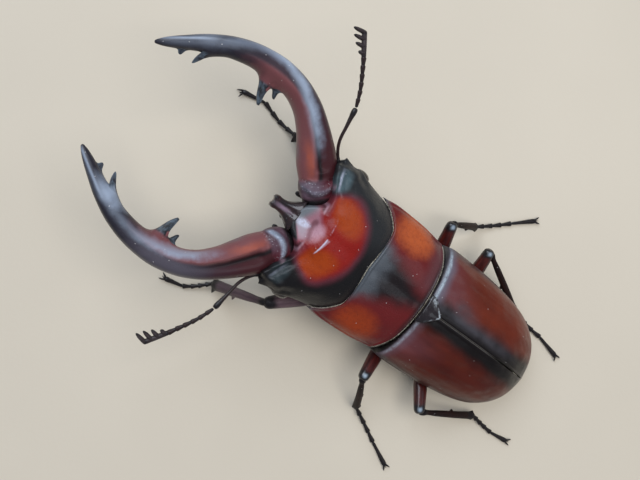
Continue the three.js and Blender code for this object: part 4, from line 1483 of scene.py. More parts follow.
@dataclass
class Pronotum:
    """The broad plate behind the head, with beaded margins and a hair fringe front and back."""

    finish: Chitin
    hair: HairFinish
    half_width: Profile = Profile((0, 10.6), (0.25, 11), (0.6, 10.9), (1, 10.3))
    front: Profile = Profile((0, -11.3), (0.35, -11), (0.62, -10.9), (0.84, -12.2), (1, -14.3))
    back: Profile = Profile((0, -0.25), (0.6, -0.6), (1, -1.6))
    edge: Profile = Profile((0, -1.15), (1, -0.4))
    crown: Profile = Profile((0, 3.4), (0.35, 4.3), (0.7, 4.7), (1, 4.5))
    bead: float = 0.2
    hairs: int = 230
    hair_radius: float = 0.045
    folds: tuple[Crease, ...] = (
        Crease(((0, -9.6), (0, -2.2)), -0.28, 1.5, both=False),
        Crease(((4.6, -9), (5.4, -3)), 0.14, 2.4),
        Crease(((7.8, -8.6), (8.2, -7.2)), -0.22, 1.6),
        Crease(((7, -3.6), (7.6, -3.4)), -0.16, 1.4),
    )

    def build(self) -> None:
        """Shapes the plate and its fringes."""
        bench = Bench("pronotum_shell")
        rows = [0, 0.018, 0.035, 0.055, 0.08, *even(0.12, 0.9, 26), 0.93, 0.955, 0.972, 0.986, 1]
        plate = Plate(self.half_width, self.front, self.back, self.edge, self.crown,
                      Arch(2.3, 0.62), across(57), rows)
        sheet = plate.top(bench)
        for crease in self.folds:
            crease.press(bench)
        bench.roll(sheet.rows, {1: 1, 2: 1, 3: -0.3, -2: 1, -3: 0.9, -4: -0.3}, self.bead)
        bench.roll(sheet.columns, {2: 0.8, 3: 0.9, 5: -0.6, -3: 0.8, -4: 0.9, -6: -0.6}, self.bead)
        plate.under(bench, Arch(2.3, 0.62), lambda v: 0.6, lambda v: 0.9)
        bench.deliver(self.finish.make(), "pronotum_shell", "pronotum")
        self.fringe("fringe_front", self.front, 0, -0.34)
        self.fringe("fringe_hind", self.back, 1, 0.3)

    def fringe(self, name: str, margin: Profile, place: float, lean: float) -> None:
        """Lays a row of fine hairs along a margin.

        Args:
            name: The piece's name.
            margin: The margin's y from the middle line to the side.
            place: Where the margin is along the plate, 0 or 1.
            lean: How far the hairs reach along y.
        """
        rng = random.Random(name)
        bench = Bench(name)
        arch = Arch(2.3, 0.62)
        for u in even(-0.96, 0.96, self.hairs):
            height = lerp(self.edge(place), self.crown(place), arch(u)) - 0.1
            root = Vector((u * self.half_width(place), margin(abs(u)), height))
            fan = Vector((rng.uniform(-0.08, 0.08) + u * 0.05, lean * rng.uniform(0.8, 1.1), -0.08))
            bench.bristle(root, root + fan, self.hair_radius)
        bench.deliver(self.hair.make(), "pronotum_shell", levels=0)


@dataclass
class WingCases:
    """The two long wing cases, each beaded along the seam and gutter-edged at the side."""

    finish: Chitin
    half_width: Profile = Profile((0, 10.5), (0.06, 10.85), (0.3, 10.75), (0.55, 10.1), (0.72, 9.1),
                                  (0.86, 7.1), (0.94, 5), (0.985, 2.6), (1, 1.3))
    edge: Profile = Profile((0, -0.2), (0.5, 0), (0.8, -0.4), (1, -1.5))
    crown: Profile = Profile((0, 3.8), (0.02, 4.15), (0.05, 4.68), (0.075, 4.95), (0.12, 5.2),
                             (0.38, 5.6), (0.6, 5.2), (0.78, 3.9), (0.9, 2.2), (1, -0.5))
    lip_drop: Profile = Profile((0, 2.5), (0.8, 1.84), (0.93, 1.25), (1, 0.6))
    crown_drop: Profile = Profile((0, 1), (0.9, 1), (1, 1.5))
    seam: float = 0.02
    length: float = 27.4
    bead: float = 0.1
    ribs: tuple[Crease, ...] = (
        Crease(((3.4, 3), (3.2, 22)), 0.1, 1.2, both=False),
        Crease(((6.2, 3), (5.8, 20)), 0.1, 1.2, both=False),
        Crease(((8.3, 2.2), (8.5, 3.6)), 0.35, 2.4, both=False),
        Crease(((6.3, 1.8), (6.5, 3.4)), -0.22, 1.5, both=False),
    )

    def build(self) -> None:
        """Shapes the left case and mirrors it."""
        bench = Bench("wing_case_left")
        rows = [0, 0.012, 0.025, 0.04, *even(0.07, 0.8, 32), *even(0.82, 0.96, 11), 0.975, 0.985,
                0.993, 1]
        columns = [0, 0.02, 0.04, 0.065, *across(34, half=True)[2:]]
        plate = Plate(self.half_width, lambda u: 0.1 - 0.5 * u * u, lambda u: self.length, self.edge,
                      self.crown, Arch(2.5, 0.62), columns, rows, self.seam)
        sheet = plate.top(bench)
        for crease in self.ribs:
            crease.press(bench)
        bench.roll(sheet.columns, {0: -0.8, 1: 1, 2: 1, 3: -0.3, -2: 1.6, -3: 1, -5: -1.2}, self.bead)
        bench.roll(sheet.rows, {0: -2, 1: 0.6, 2: 1.4, 3: 0.6}, self.bead)
        plate.under(bench, Arch(2.5, 0.62), self.lip_drop, self.crown_drop)
        present_both(subdivide(bench.leave(), 1), self.finish.make(), "wing_case", "elytron")


@dataclass
class SmallPlates:
    """The scutellum between the wing cases, the clypeus over the mouth and the mentum under it."""

    scutellum_finish: Chitin
    clypeus_finish: Chitin
    under_finish: Chitin

    def build(self) -> None:
        """Shapes the three plates."""
        belly = self.under_finish.make()
        scutellum = Plate(
            Profile((0, 2.6), (0.3, 2.3), (0.65, 1.35), (0.9, 0.5), (1, 0.2)), lambda u: -0.1,
            lambda u: 3.1, Profile((0, 4.6), (1, 5.35)), Profile((0, 5.05), (0.5, 5.5), (1, 5.6)),
            Arch(2.2, 0.7), across(17), even(0, 1, 17))
        self.make("scutellum_shield", scutellum, 0.9, self.scutellum_finish.make(), "scutellum", 0.12)
        clypeus = Plate(
            Profile((0, 0.98), (0.1, 1.12), (0.26, 1.02), (0.45, 1.15), (0.68, 1.65), (1, 2.75)),
            lambda u: -29.2 + 0.3 * max(0, 1 - (u / 0.6) ** 2) + 0.3 * u ** 4, lambda u: -24.6,
            Profile((0, -0.95), (0.5, -0.5), (1, 0.3)), Profile((0, -0.35), (0.5, 0.25), (1, 1.15)),
            Arch(2.4, 0.6), across(21), even(0, 1, 21))
        self.make("clypeus_lobe", clypeus, 1.2, self.clypeus_finish.make(), "clypeus", 0.28)
        mentum = Plate(
            Profile((0, 2.3), (0.5, 3.3), (1, 3.4)), lambda u: -24.3 + 0.6 * u * u, lambda u: -19.4,
            lambda v: -4.6, lambda v: -4, Arch(2.4, 0.6), across(21), even(0, 1, 15))
        bench = Bench("mentum_plate")
        mentum.top(bench)
        mentum.under(bench, Arch(2.4, 0.5), lambda v: 0.2, lambda v: 1.15)
        bench.deliver(belly, "black_shell", "mentum")

    def make(self, name: str, plate: Plate, thick: float, finish: Material, node: str,
             dent: float) -> None:
        """Shapes one small plate with a shallow dent along its middle.

        Args:
            name: The piece's name.
            plate: Its form.
            thick: Its thickness.
            finish: Its material.
            node: The solid that it stands for.
            dent: Depth of the dent.
        """
        bench = Bench(name)
        sheet = plate.top(bench)
        middle = sheet.columns[len(sheet.columns) // 2]
        bench.pick(middle[3:-3]).move(z=-dent, reach=0.7)
        plate.under(bench, plate.arch, lambda v: thick * 0.7, lambda v: thick)
        bench.deliver(finish, "black_shell", node)


# --- The underside ---


@dataclass(frozen=True)
class BellyPart:
    """One length of the underside, lofted from front to back."""

    name: str
    node: str
    start: float
    end: float
    half_width: Profile
    roof: Profile
    keel: Profile
    joints: int = 0
    step: float = 0.22


@dataclass
class Underside:
    """The chest and the belly with its five overlapping plates."""

    finish: Chitin
    sides: int = 48
    parts: tuple[BellyPart, ...] = (
        BellyPart("prosternum_shell", "prosternum", -11, -0.9,
                  Profile((0, 9.6), (0.3, 10.1), (0.8, 9.9), (1, 9)), Profile((0, -1.2), (1, -0.5)),
                  Profile((0, -4.8), (0.3, -5.9), (0.75, -6.1), (1, -5.4))),
        BellyPart("chest_shell", "pterothorax", 0.1, 10.6,
                  Profile((0, 8), (0.25, 9.4), (1, 9.4)), Profile((0, 1), (0.3, 1.9), (1, 2.2)),
                  Profile((0, -5), (0.25, -6.7), (0.8, -6.9), (1, -6.2))),
        BellyPart("belly_plates", "abdomen", 10.9, 26.6,
                  Profile((0, 9.3), (0.4, 8.7), (0.7, 7.2), (0.9, 4.8), (1, 2.6)),
                  Profile((0, 2.2), (0.5, 1.5), (0.8, -0.1), (1, -2.2)),
                  Profile((0, -6), (0.4, -5.6), (0.75, -4.6), (1, -3.3)), joints=5),
    )

    def outline(self) -> list[tuple[float, float]]:
        """The unit ring: flat above the flanks and rounded below."""
        ring = []
        for i in range(self.sides):
            angle = math.tau * i / self.sides
            c, s = math.cos(angle), math.sin(angle)
            upper = s >= 0
            x = math.copysign(abs(c) ** (0.5 if upper else 1.1), c)
            z = 0.32 * s ** 0.6 if upper else -0.68 * abs(s) ** 0.85
            ring.append((x, z))
        return ring

    def stations(self, part: BellyPart) -> list[Station]:
        """Where the rings of one part stand, with a step behind each belly plate."""
        places = [(t, 0) for t in even(0, 1, 22)]
        if part.joints:
            places = []
            for k in range(part.joints):
                for share, rim in ((0, 0), (0.06, 0.6), (0.3, 0.9), (0.6, 1), (0.9, 1)):
                    places.append(((k + share) / part.joints, rim))
            places.append((1, 0.2))
        stops = []
        for t, rim in places:
            roof, keel = part.roof(t), part.keel(t)
            grow = (rim - 1) * part.step if part.joints else 0
            stops.append(Station(lerp(part.start, part.end, t), part.half_width(t) + grow,
                                 roof - keel + grow, 0, lerp(roof, keel, 0.32)))
        return stops

    def build(self) -> None:
        """Shapes every part."""
        finish = self.finish.make()
        for part in self.parts:
            bench = Bench(part.name)
            rings = bench.loft(self.stations(part), self.sides, self.outline())
            bottom = self.sides * 3 // 4
            if not part.joints:
                line = [ring[bottom] for ring in rings[3:-2]]
                bench.pick(line).move(z=0.3, reach=1.2)
            bench.deliver(finish, "belly_shell", part.node)


# --- Jaws, feelers and palps ---


@dataclass(frozen=True)
class Tooth:
    """One tooth of a jaw: the middle of its root, and where its tip is from there."""

    root: Point
    tip: Point
    spread: float
    bow: float = 0.12


@dataclass
class Jaws:
    """The two great curved jaws, each with two teeth along it and two near its tip."""

    finish: Chitin
    path: tuple[Point, ...] = (
        (3.3, -22.6, -1.1), (5, -24.1, -0.9), (7.8, -26.3, -0.7), (10.2, -28.5, -0.3),
        (12.5, -31, 0.3), (14.3, -33.8, 1), (15.4, -37.6, 1.8), (15.4, -42, 2.2),
        (14.5, -46, 2), (12.8, -49.6, 1.5), (10.9, -52.5, 0.9), (8.6, -55.8, 0.2))
    half_width: Profile = Profile(
        (-0.06, 1.7), (-0.04, 2.3), (-0.02, 2.72), (0, 2.98), (0.02, 3.12), (0.036, 3.1),
        (0.048, 3), (0.06, 3.06), (0.085, 3.2), (0.12, 3.3), (0.17, 3.1), (0.27, 2.55),
        (0.4, 2.15), (0.52, 2.05), (0.66, 1.75), (0.8, 1.36), (0.88, 1.06),
        (0.94, 0.8), (0.98, 0.5), (1, 0.2))
    half_height: Profile = Profile(
        (-0.06, 1.3), (-0.04, 1.7), (-0.02, 2.05), (0, 2.28), (0.02, 2.36), (0.036, 2.26),
        (0.048, 2.02), (0.06, 2.06), (0.085, 2.24), (0.12, 2.45), (0.3, 2.3), (0.5, 2),
        (0.7, 1.6), (0.85, 1.15), (0.94, 0.75), (0.98, 0.45), (1, 0.16))
    groove: Profile = Profile((0.08, 0), (0.11, 0.95), (0.2, 0.8), (0.33, 0.4), (0.46, 0.08), (1, 0))
    ridge: Profile = Profile((0.06, 0), (0.12, 0.3), (0.3, 0.26), (0.45, 0.12), (0.7, 0.04), (1, 0))
    outline: tuple[tuple[float, float], ...] = (
        (0.95, 0), (0.92, 0.28), (0.81, 0.54), (0.65, 0.75), (0.47, 0.89), (0.3, 0.97), (0.13, 1),
        (-0.04, 1), (-0.3, 0.97), (-0.58, 0.9), (-0.82, 0.7), (-0.96, 0.38), (-1, 0),
        (-0.96, -0.32), (-0.84, -0.6), (-0.62, -0.82), (-0.36, -0.94), (-0.1, -0.98), (0.16, -0.97),
        (0.4, -0.9), (0.62, -0.76), (0.8, -0.54), (0.9, -0.28), (0.92, -0.12))
    teeth: tuple[Tooth, ...] = (
        Tooth((13.5, -40.4, 1.9), (-3.8, 0.3, -0.2), 1.5),
        Tooth((13.6, -38.5, 1.8), (-1.55, 0.15, -0.3), 0.72),
        Tooth((12.4, -49.2, 1.4), (-2.2, -1.5, -0.3), 1.45),
        Tooth((10.9, -52.1, 0.9), (-0.85, -0.1, -0.2), 0.62))
    swells: tuple[tuple[Point, Point, float], ...] = (
        ((12.2, -48.7, 1.4), (-0.55, -0.2, 0), 2.1), ((13.9, -41.2, 2), (-0.4, 0, 0), 1.8))
    stages: Line = ((0.16, 0.68), (0.18, 0.74), (0.2, 0.82), (0.22, 0.8), (0.24, 0.45))
    tooth_mark: float = 8
    root_depth: tuple[float, float] = (-0.5, 1.3)
    blend_depth: tuple[float, float] = (-0.9, 1)
    blend_reach: float = 1.2
    hinge: Point = (5, -24.1, 0)
    skew: float = math.radians(1.2)
    back: float = 0.06

    def places(self) -> list[float]:
        """Shares of the length at which the rings stand."""
        close = [-0.06, -0.03, -0.012, 0, 0.01, 0.018, 0.025, 0.032, 0.038, 0.044, 0.051, 0.058,
                 0.065, 0.072, 0.079, 0.086, 0.1]
        return [*close, *even(0.12, 0.96, 50), 0.975, 0.99, 1]

    def build(self) -> None:
        """Shapes the left jaw, mirrors it, and turns each about its hinge."""
        path, length = route("jaw_path", self.path)
        run = length / (1 + self.back)
        bench = Bench("jaw_left")
        stops = [Station((t + self.back) * run, self.half_width(t), self.half_height(t))
                 for t in self.places()]
        rings = bench.loft(stops, len(self.outline), self.outline)
        for ring, t in zip(rings, self.places()):
            depth, height = self.groove(t), self.ridge(t)
            rises = {4: height * 0.6, 5: height, 6: -depth * 0.4, 7: -depth, 8: -depth * 0.4}
            for index, rise in rises.items():
                if abs(rise) > 0.01:
                    bench.pick([ring[index]]).move(z=rise)
        piece = bench.leave()
        remember(piece, lambda p: (p.x, p.y - self.back * run, p.z))
        bend(piece, path)
        self.grow_teeth(piece)
        present_both(subdivide(piece, 2), self.finish.make(), "jaw", "mandible", self.skewed)

    def skewed(self, side: Side) -> Matrix:
        """The small turn that both jaws share, each about its own hinge."""
        pivot = Matrix.Translation((self.hinge[0] * side.value, *self.hinge[1:]))
        return pivot @ Matrix.Rotation(self.skew, 4, "Z") @ pivot.inverted()

    def grow_teeth(self, piece: Piece) -> None:
        """Draws the teeth out of the inner face of the bent jaw."""
        bench = Bench(piece)
        for place, push, reach in self.swells:
            spot = min(bench.mesh().verts, key=lambda v: (v.co - Vector(place)).length)
            bench.pick([spot.index]).move(*push, reach)
        bench.leave()
        low, high = self.root_depth
        near, far = self.blend_depth
        for tooth in self.teeth:
            grown = len(piece.data.vertices)
            bench = Bench(piece)
            root, tip = Vector(tooth.root), Vector(tooth.tip)
            across_tooth = Vector((-tip.y, tip.x, 0)).normalized()
            inward = tip.normalized()

            def at_root(p: Vector) -> bool:
                """Whether a face on the inner side is part of the root."""
                away = p - root
                aside = away.dot(across_tooth) / tooth.spread
                upward = away.z / (tooth.spread * 0.72)
                return aside * aside + upward * upward < 1 and low < away.dot(inward) < high

            steps = []
            for k, (share, shrink) in enumerate(self.stages):
                sway = tooth.bow * (1 - k) * tip.length * share
                steps.append(Step(tuple(tip * share + across_tooth * sway), shrink))
            count = bench.draw_out(at_root, steps)
            LOG.info("tooth at %s from %d faces", tooth.root, count)
            ways = [(v.index, v.co - root) for v in bench.mesh().verts]
            bench.pick([i for i, away in ways if away.length < tooth.spread * self.blend_reach
                        and near < away.dot(inward) < far])
            bpy.ops.mesh.vertices_smooth(factor=0.5, repeat=3)
            bench.leave()
            form = piece.data.attributes["form"].data
            for v in piece.data.vertices[grown:]:
                share = (v.co - root).dot(inward) / tip.length
                form[v.index].vector.x += self.tooth_mark * min(1, max(0, share))


def turned(name: str, length: float, wide: Curve, high: Curve, stops: int, sides: int,
           mark: float, rise: float = 0) -> Piece:
    """A closed straight limb part along +Y from the origin, with its form remembered.

    Args:
        name: The piece's name.
        length: How long it is.
        wide: Half width along it, from 0 to 1.
        high: Half height along it.
        stops: How many rings it has.
        sides: How many points a ring has.
        mark: Stored length for each millimetre.
        rise: How far its middle arches up.

    Returns:
        The piece.
    """
    bench = Bench(name)
    bench.loft([Station(t * length, wide(t), high(t), 0, rise * math.sin(math.pi * t))
                for t in even(0, 1, stops)], sides)
    piece = bench.leave()
    remember(piece, lambda p: (p.x, p.y * mark, p.z))
    return piece


@dataclass(frozen=True)
class Rod:
    """A thin curved limb part: the path it follows and how its thickness runs."""

    path: tuple[Point, ...]
    radius: Profile
    sides: int = 14
    stops: int = 24

    def build(self, name: str) -> Piece:
        """Draws the rod straight and bends it onto its path.

        Args:
            name: The piece's name.

        Returns:
            The piece.
        """
        path, length = route(name + "_path", self.path)
        piece = turned(name, length, self.radius, self.radius, self.stops, self.sides, FORM_LENGTH / length)
        bend(piece, path)
        return subdivide(face_out(piece), 1)


@dataclass
class Trail:
    """A smooth line through points, read by its share of the length."""

    points: tuple[Point, ...]
    spots: list[Vector] = field(default_factory=list)

    def __post_init__(self) -> None:
        """Fills in the spots along the line."""
        ends = [Vector(p) for p in self.points]
        ends = [ends[0] * 2 - ends[1], *ends, ends[-1] * 2 - ends[-2]]
        for a, b, c, d in zip(ends, ends[1:], ends[2:], ends[3:]):
            for i in range(16):
                t = i / 16
                self.spots.append(0.5 * (2 * b + (c - a) * t + (2 * a - 5 * b + 4 * c - d) * t * t
                                         + (3 * b - a - 3 * c + d) * t ** 3))
        self.spots.append(ends[-2])

    def at(self, share: float) -> Vector:
        """The place at a share of the whole length."""
        steps = [(b - a).length for a, b in zip(self.spots, self.spots[1:])]
        left = share * sum(steps)
        for start, end, step in zip(self.spots, self.spots[1:], steps):
            if left <= step:
                return start.lerp(end, left / step)
            left -= step
        return self.spots[-1]


@dataclass
class Feelers:
    """The elbowed feelers with their comb-like clubs, and the two pairs of mouth feelers."""

    finish: Chitin
    club_finish: Chitin
    scape: Rod = Rod(((10.2, -23.9, -0.5), (12.7, -25.9, 0.2), (15.5, -26.6, 0.6), (18.4, -27.1, 0.8)),
                     Profile((0, 0.4), (0.06, 0.46), (0.12, 0.26), (0.6, 0.28), (0.84, 0.38),
                             (0.94, 0.5), (1, 0.34)))
    funicle: tuple[Point, ...] = ((18.5, -27.15, 0.8), (21.2, -28.3, 0.8), (25, -30.6, 0.7))
    beads: int = 6
    club_root: Point = (24.9, -30.55, 0.7)
    club_tip: Point = (28.3, -32.9, 0.5)
    plates: tuple[float, ...] = (0.6, 0.95, 1.15, 1.2)
    plate_length: float = 1.9
    maxillary: Rod = Rod(((2.6, -23, -4.3), (3.2, -24.2, -5.2), (3.2, -25.4, -5.2)),
                         Profile((0, 0.28), (0.3, 0.42), (0.45, 0.26), (0.5, 0.3), (0.85, 0.44),
                                 (1, 0.22)))
    labial: Rod = Rod(((1, -23.6, -4.6), (1.15, -24.6, -5.3), (1.05, -25.4, -5.3)),
                      Profile((0, 0.28), (0.3, 0.4), (0.45, 0.25), (0.5, 0.28), (0.85, 0.42), (1, 0.2)))

    def build(self) -> None:
        """Shapes the left pieces and mirrors them."""
        finish, club = self.finish.make(), self.club_finish.make()
        made = [
            (self.scape.build("scape_left"), "antenna_scape", finish),
            (self.build_funicle(), "antenna_funicle", finish),
            (self.build_club(), "antenna_club", club),
            (self.maxillary.build("cheek_palp_left"), "palp_maxillary", finish),
            (self.labial.build("lip_palp_left"), "palp_labial", finish),
        ]
        for left, node, material in made:
            present_both(left, material, "feeler", node)

    def build_funicle(self) -> Piece:
        """Shapes one bead and strings copies along the feeler."""
        trail = Trail(self.funicle)
        length = sum((b - a).length for a, b in zip(trail.spots, trail.spots[1:]))
        pitch = length / self.beads
        cup = Profile((0, 0.16), (0.08, 0.26), (0.4, 0.32), (0.8, 0.4), (0.94, 0.36), (1, 0.18))
        bead = turned("bead", pitch * 1.2, cup, cup, 12, 14, 4)
        string = []
        for i in range(self.beads):
            here = copy(bead, "funicle_left" if i == 0 else f"bead_{i}")
            grow = lerp(0.92, 1.08, i / (self.beads - 1))
            start, end = trail.at(i / self.beads), trail.at((i + 1) / self.beads)
            settle(here, aim(start, end) @ Matrix.Diagonal((grow, 1, grow, 1)))
            string.append(here)
        bpy.data.meshes.remove(bead.data)
        return subdivide(join(string), 1)

    def build_club(self) -> Piece:
        """Shapes one leaf of the club and sets copies like a comb's teeth."""
        root, tip = Vector(self.club_root), Vector(self.club_tip)
        wide = Profile((0, 0.3), (0.2, 0.36), (0.6, 0.32), (0.9, 0.2), (1, 0.06))
        leaf = turned("leaf", self.plate_length, wide, lambda t: wide(t) * 1.3, 14, 14, 5)
        stem = Rod((tuple(root), tuple(root.lerp(tip, 0.5)), tuple(tip)),
                   Profile((0, 0.2), (0.06, 0.38), (0.5, 0.42), (0.94, 0.42), (1, 0.18)))
        pieces = [stem.build("club_left")]
        for i, grow in enumerate(self.plates):
            start = root.lerp(tip, (i + 0.7) / len(self.plates))
            reach = Vector((-0.35, -1.35, 0.1)) * grow
            here = copy(leaf, f"leaf_{i}")
            scale = reach.length / self.plate_length * 1.25
            settle(here, aim(start - reach * 0.12, start + reach) @ Matrix.Diagonal((1, scale, 1, 1)))
            pieces.append(subdivide(here, 1))
        bpy.data.meshes.remove(leaf.data)
        return join(pieces)


# --- Legs ---


@dataclass(frozen=True)
class Leg:
    """One leg's joints in the floor's frame: hip ends, knee, ankle and the line of the foot."""

    name: str
    hip: tuple[Point, Point]
    knee: Point
    ankle: Point
    foot: tuple[tuple[float, float], ...]
    scale: float = 1

    @property
    def side(self) -> Side:
        """The side it is on."""
        return Side.LEFT if self.knee[0] > 0 else Side.RIGHT

    @property
    def word(self) -> str:
        """Its name as it stands in the nodes' names."""
        return f"leg_{self.name}_{self.side.word}"


def mirrored(point: Point) -> Point:
    """A point on the beetle's other side."""
    return (-point[0], point[1], point[2])


FRONT_HIP = ((1.6, -8.6, 8.2), (5.7, -9.6, 7.6))
MIDDLE_HIP = ((1.9, 2.4, 4.6), (6, 1.5, 4.4))
HIND_HIP = ((1.4, 8.2, 3.5), (6, 8.6, 3.4))


@dataclass
class Legs:
    """The six legs, each of hip, thigh, shin, beaded foot and claws."""

    thigh_finish: Mapping[str, Chitin]
    limb_finish: Mapping[str, Chitin]
    foot_finish: Chitin
    foot_height: float = 0.42
    heel_back: float = 0.75
    heel_height: float = 1.6
    legs: tuple[Leg, ...] = (
        Leg("front", FRONT_HIP, (14, -19.4, 11), (17.3, -27.9, 2),
            ((19.9, -30.6), (21.5, -33.4), (21.4, -35.1)), 1.08),
        Leg("front", tuple(map(mirrored, FRONT_HIP)), (-10.8, -21.4, 11.2), (-11.8, -31.2, 2),
            ((-12.3, -35), (-13.9, -40), (-13.7, -42), (-12.8, -42.8)), 1.08),
        Leg("middle", MIDDLE_HIP, (15.2, 1.1, 9.7), (20.9, 5.2, 2),
            ((23, 9.1), (25.6, 13.7), (26.8, 16.1))),
        Leg("middle", tuple(map(mirrored, MIDDLE_HIP)), (-14.2, -1.4, 9.7), (-17.5, 4.3, 2),
            ((-20.2, 7.7), (-23.3, 11.1), (-25, 13.1))),
        Leg("hind", HIND_HIP, (14.7, 13.2, 7.4), (10.3, 23.9, 1.9),
            ((10.9, 27.4), (11.2, 30.6), (10.8, 32.4))),
        Leg("hind", tuple(map(mirrored, HIND_HIP)), (-14.5, 7.2, 7.6), (-9.4, 18.9, 1.9),
            ((-8.5, 25), (-8.4, 28.7), (-7.3, 30.9))),
    )

    def build(self) -> None:
        """Shapes the shared foot parts, then every leg."""
        foot = self.foot_finish.make()
        thighs = {name: finish.make() for name, finish in self.thigh_finish.items()}
        limbs = {name: finish.make() for name, finish in self.limb_finish.items()}
        tarsomere, claws = self.tarsomere(), self.claw_pair()
        for leg in self.legs:
            key = f"{leg.name}_{leg.side.word}"
            thigh = thighs.get(key, thighs["other"])
            limb = limbs.get(key, limbs["other"])
            for piece, part, slot, finish in (
                    (self.coxa(leg), "coxa", "limb", limb),
                    (self.femur(leg), "femur", "thigh", thigh),
                    (self.tibia(leg), "tibia", "limb", limb),
                    (self.tarsus(leg, tarsomere), "tarsus", "limb", foot),
                    (self.claws(leg, claws), "claws", "limb", foot)):
                settle(piece, floor_place())
                present(piece, finish, slot, f"{leg.word}_{part}")
        for spare in (tarsomere, claws):
            bpy.data.meshes.remove(spare.data)

    def spindle(self, name: str, start: Vector, end: Vector, wide: Profile, deep: Profile,
                rise: float = 0, stops: int = 26, sides: int = 20) -> Piece:
        """A straight limb part as long as it is from one point to another."""
        length = (end - start).length
        return turned(name, length, wide, deep, stops, sides, FORM_LENGTH / length, rise)

    def coxa(self, leg: Leg) -> Piece:
        """The rounded hip with the small ring that carries the thigh."""
        start, end = (Vector(p) for p in leg.hip)
        r = 1.55 * leg.scale
        wide = Profile((0, 0.6 * r), (0.2, r), (0.75, 0.9 * r), (0.93, 0.62 * r), (1, 0.3 * r))
        deep = Profile((0, 0.54 * r), (0.2, 0.9 * r), (0.75, 0.8 * r), (0.93, 0.56 * r), (1, 0.28 * r))
        piece = self.spindle(f"hip_{leg.word[4:]}", start, end, wide, deep)
        return settle(subdivide(piece, 1), aim(start, end))

    def femur(self, leg: Leg) -> Piece:
        """The thick thigh, with a lip round the knee joint."""
        hip, knee = Vector(leg.hip[1]), Vector(leg.knee)
        along = (knee - hip).normalized()
        start, end = hip + along * 0.4, knee + along * 0.45
        s = 1.25 * leg.scale
        wide = Profile((0, 0.45), (0.04, 0.8), (0.09, 0.72), (0.14, 0.84 * s), (0.5, s), (0.82, 0.86 * s),
                       (0.92, 0.8 * s), (0.97, 0.7 * s), (1, 0.42 * s))
        deep = Profile((0, 0.4), (0.04, 0.72), (0.09, 0.66), (0.14, 0.74 * s), (0.5, 0.86 * s),
                       (0.82, 0.76 * s), (0.92, 0.72 * s), (0.97, 0.62 * s), (1, 0.38 * s))
        piece = self.spindle(f"thigh_{leg.word[4:]}", start, end, wide, deep, 0.12, 34)
        return settle(subdivide(piece, 1), aim(start, end))

    def tibia(self, leg: Leg) -> Piece:
        """The shin, ridged along its length, with thorns outside and spurs at its end."""
        hip, knee, ankle = Vector(leg.hip[1]), Vector(leg.knee), Vector(leg.ankle)
        cap = knee + (knee - hip).normalized() * 0.05
        start = cap - (ankle - cap).normalized() * 0.15
        length = (ankle - start).length
        s = (0.8 if leg.name == "front" else 0.62) * leg.scale
        wide = Profile((0, 0.3), (0.03, 0.6), (0.08, 0.62), (0.14, 0.7 * s), (0.3, 0.86 * s), (0.6, s),
                       (0.9, 1.12 * s), (0.97, 1.15 * s), (1, 0.5))
        deep = Profile((0, 0.3), (0.03, 0.6), (0.08, 0.62), (0.14, 0.62 * s), (0.3, 0.82 * s),
                       (0.6, 0.9 * s), (0.94, s), (1, 0.5))
        piece = self.spindle(f"shin_{leg.word[4:]}", start, ankle, wide, deep, 0.35, 44, 24)
        out = -leg.side.value
        bench = Bench(piece)
        bold = 1 if leg.name == "front" else 0.5
        thorns = ((0.55, out, 0.7 * bold, 0.34), (0.95, out, 0.66 * bold, 0.38),
                  (0.96, -out, 0.5 * bold, 0.36))
        for t, way, reach, root in thorns:
            middle = Vector((way * s * 0.95, t * length, 0.2))

            def at_root(p: Vector, middle: Vector = middle, root: float = root, way: int = way) -> bool:
                """Whether a face belongs to the thorn's root."""
                return p.x * way > 0 and abs(p.y - middle.y) < root and abs(p.z - middle.z) < root

            steps = [Step((way * reach * 0.4, reach * 0.22, -0.04), 0.7),
                     Step((way * reach * 0.35, reach * 0.25, -0.08), 0.6),
                     Step((way * reach * 0.25, reach * 0.22, -0.08), 0.25)]
            bench.draw_out(at_root, steps)
        piece = bench.leave()
        return settle(subdivide(piece, 1), aim(start, ankle))

    def tarsomere(self) -> Piece:
        """One bead of the foot, a unit long, waisted behind and flared in front."""
        bench = Bench("foot_bead")
        flare = Profile((0, 0.16), (0.06, 0.28), (0.3, 0.32), (0.7, 0.44), (0.88, 0.5), (0.96, 0.42),
                        (1, 0.14))
        bench.loft([Station(t, flare(t), flare(t) * 0.9) for t in even(0, 1, 14)], 16)
        for way in (1, -1):
            bench.bristle(Vector((0.3 * way, 0.86, -0.2)), Vector((0.46 * way, 1.06, -0.32)), 0.04)
        piece = bench.leave()
        remember(piece, lambda p: (p.x, p.y * FORM_LENGTH, p.z))
        return subdivide(piece, 1)

    def tarsus(self, leg: Leg, bead: Piece) -> Piece:
        """The beaded foot, lying along the floor."""
        first = Vector(leg.ankle)
        spots = [(first.x, first.y, 1.5)]
        spots += [(x, y, self.foot_height + 0.08) for x, y in leg.foot]
        trail = Trail(tuple(spots))
        joint = first + (Vector(leg.knee) - first).normalized() * self.heel_back
        joint.z = max(joint.z, self.heel_height)
        stops = [joint, *(trail.at(share) for share in (0.03, 0.16, 0.31, 0.46, 0.62, 1))]
        parts = []
        for i, (start, end) in enumerate(zip(stops, stops[1:])):
            length = (end - start).length * 1.08
            here = copy(bead, f"foot_{leg.word[4:]}" if i == 0 else f"foot_bead_{i}")
            settle(here, aim(start, end) @ Matrix.Diagonal((0.95, length, 0.95, 1)))
            parts.append(here)
        return join(parts)

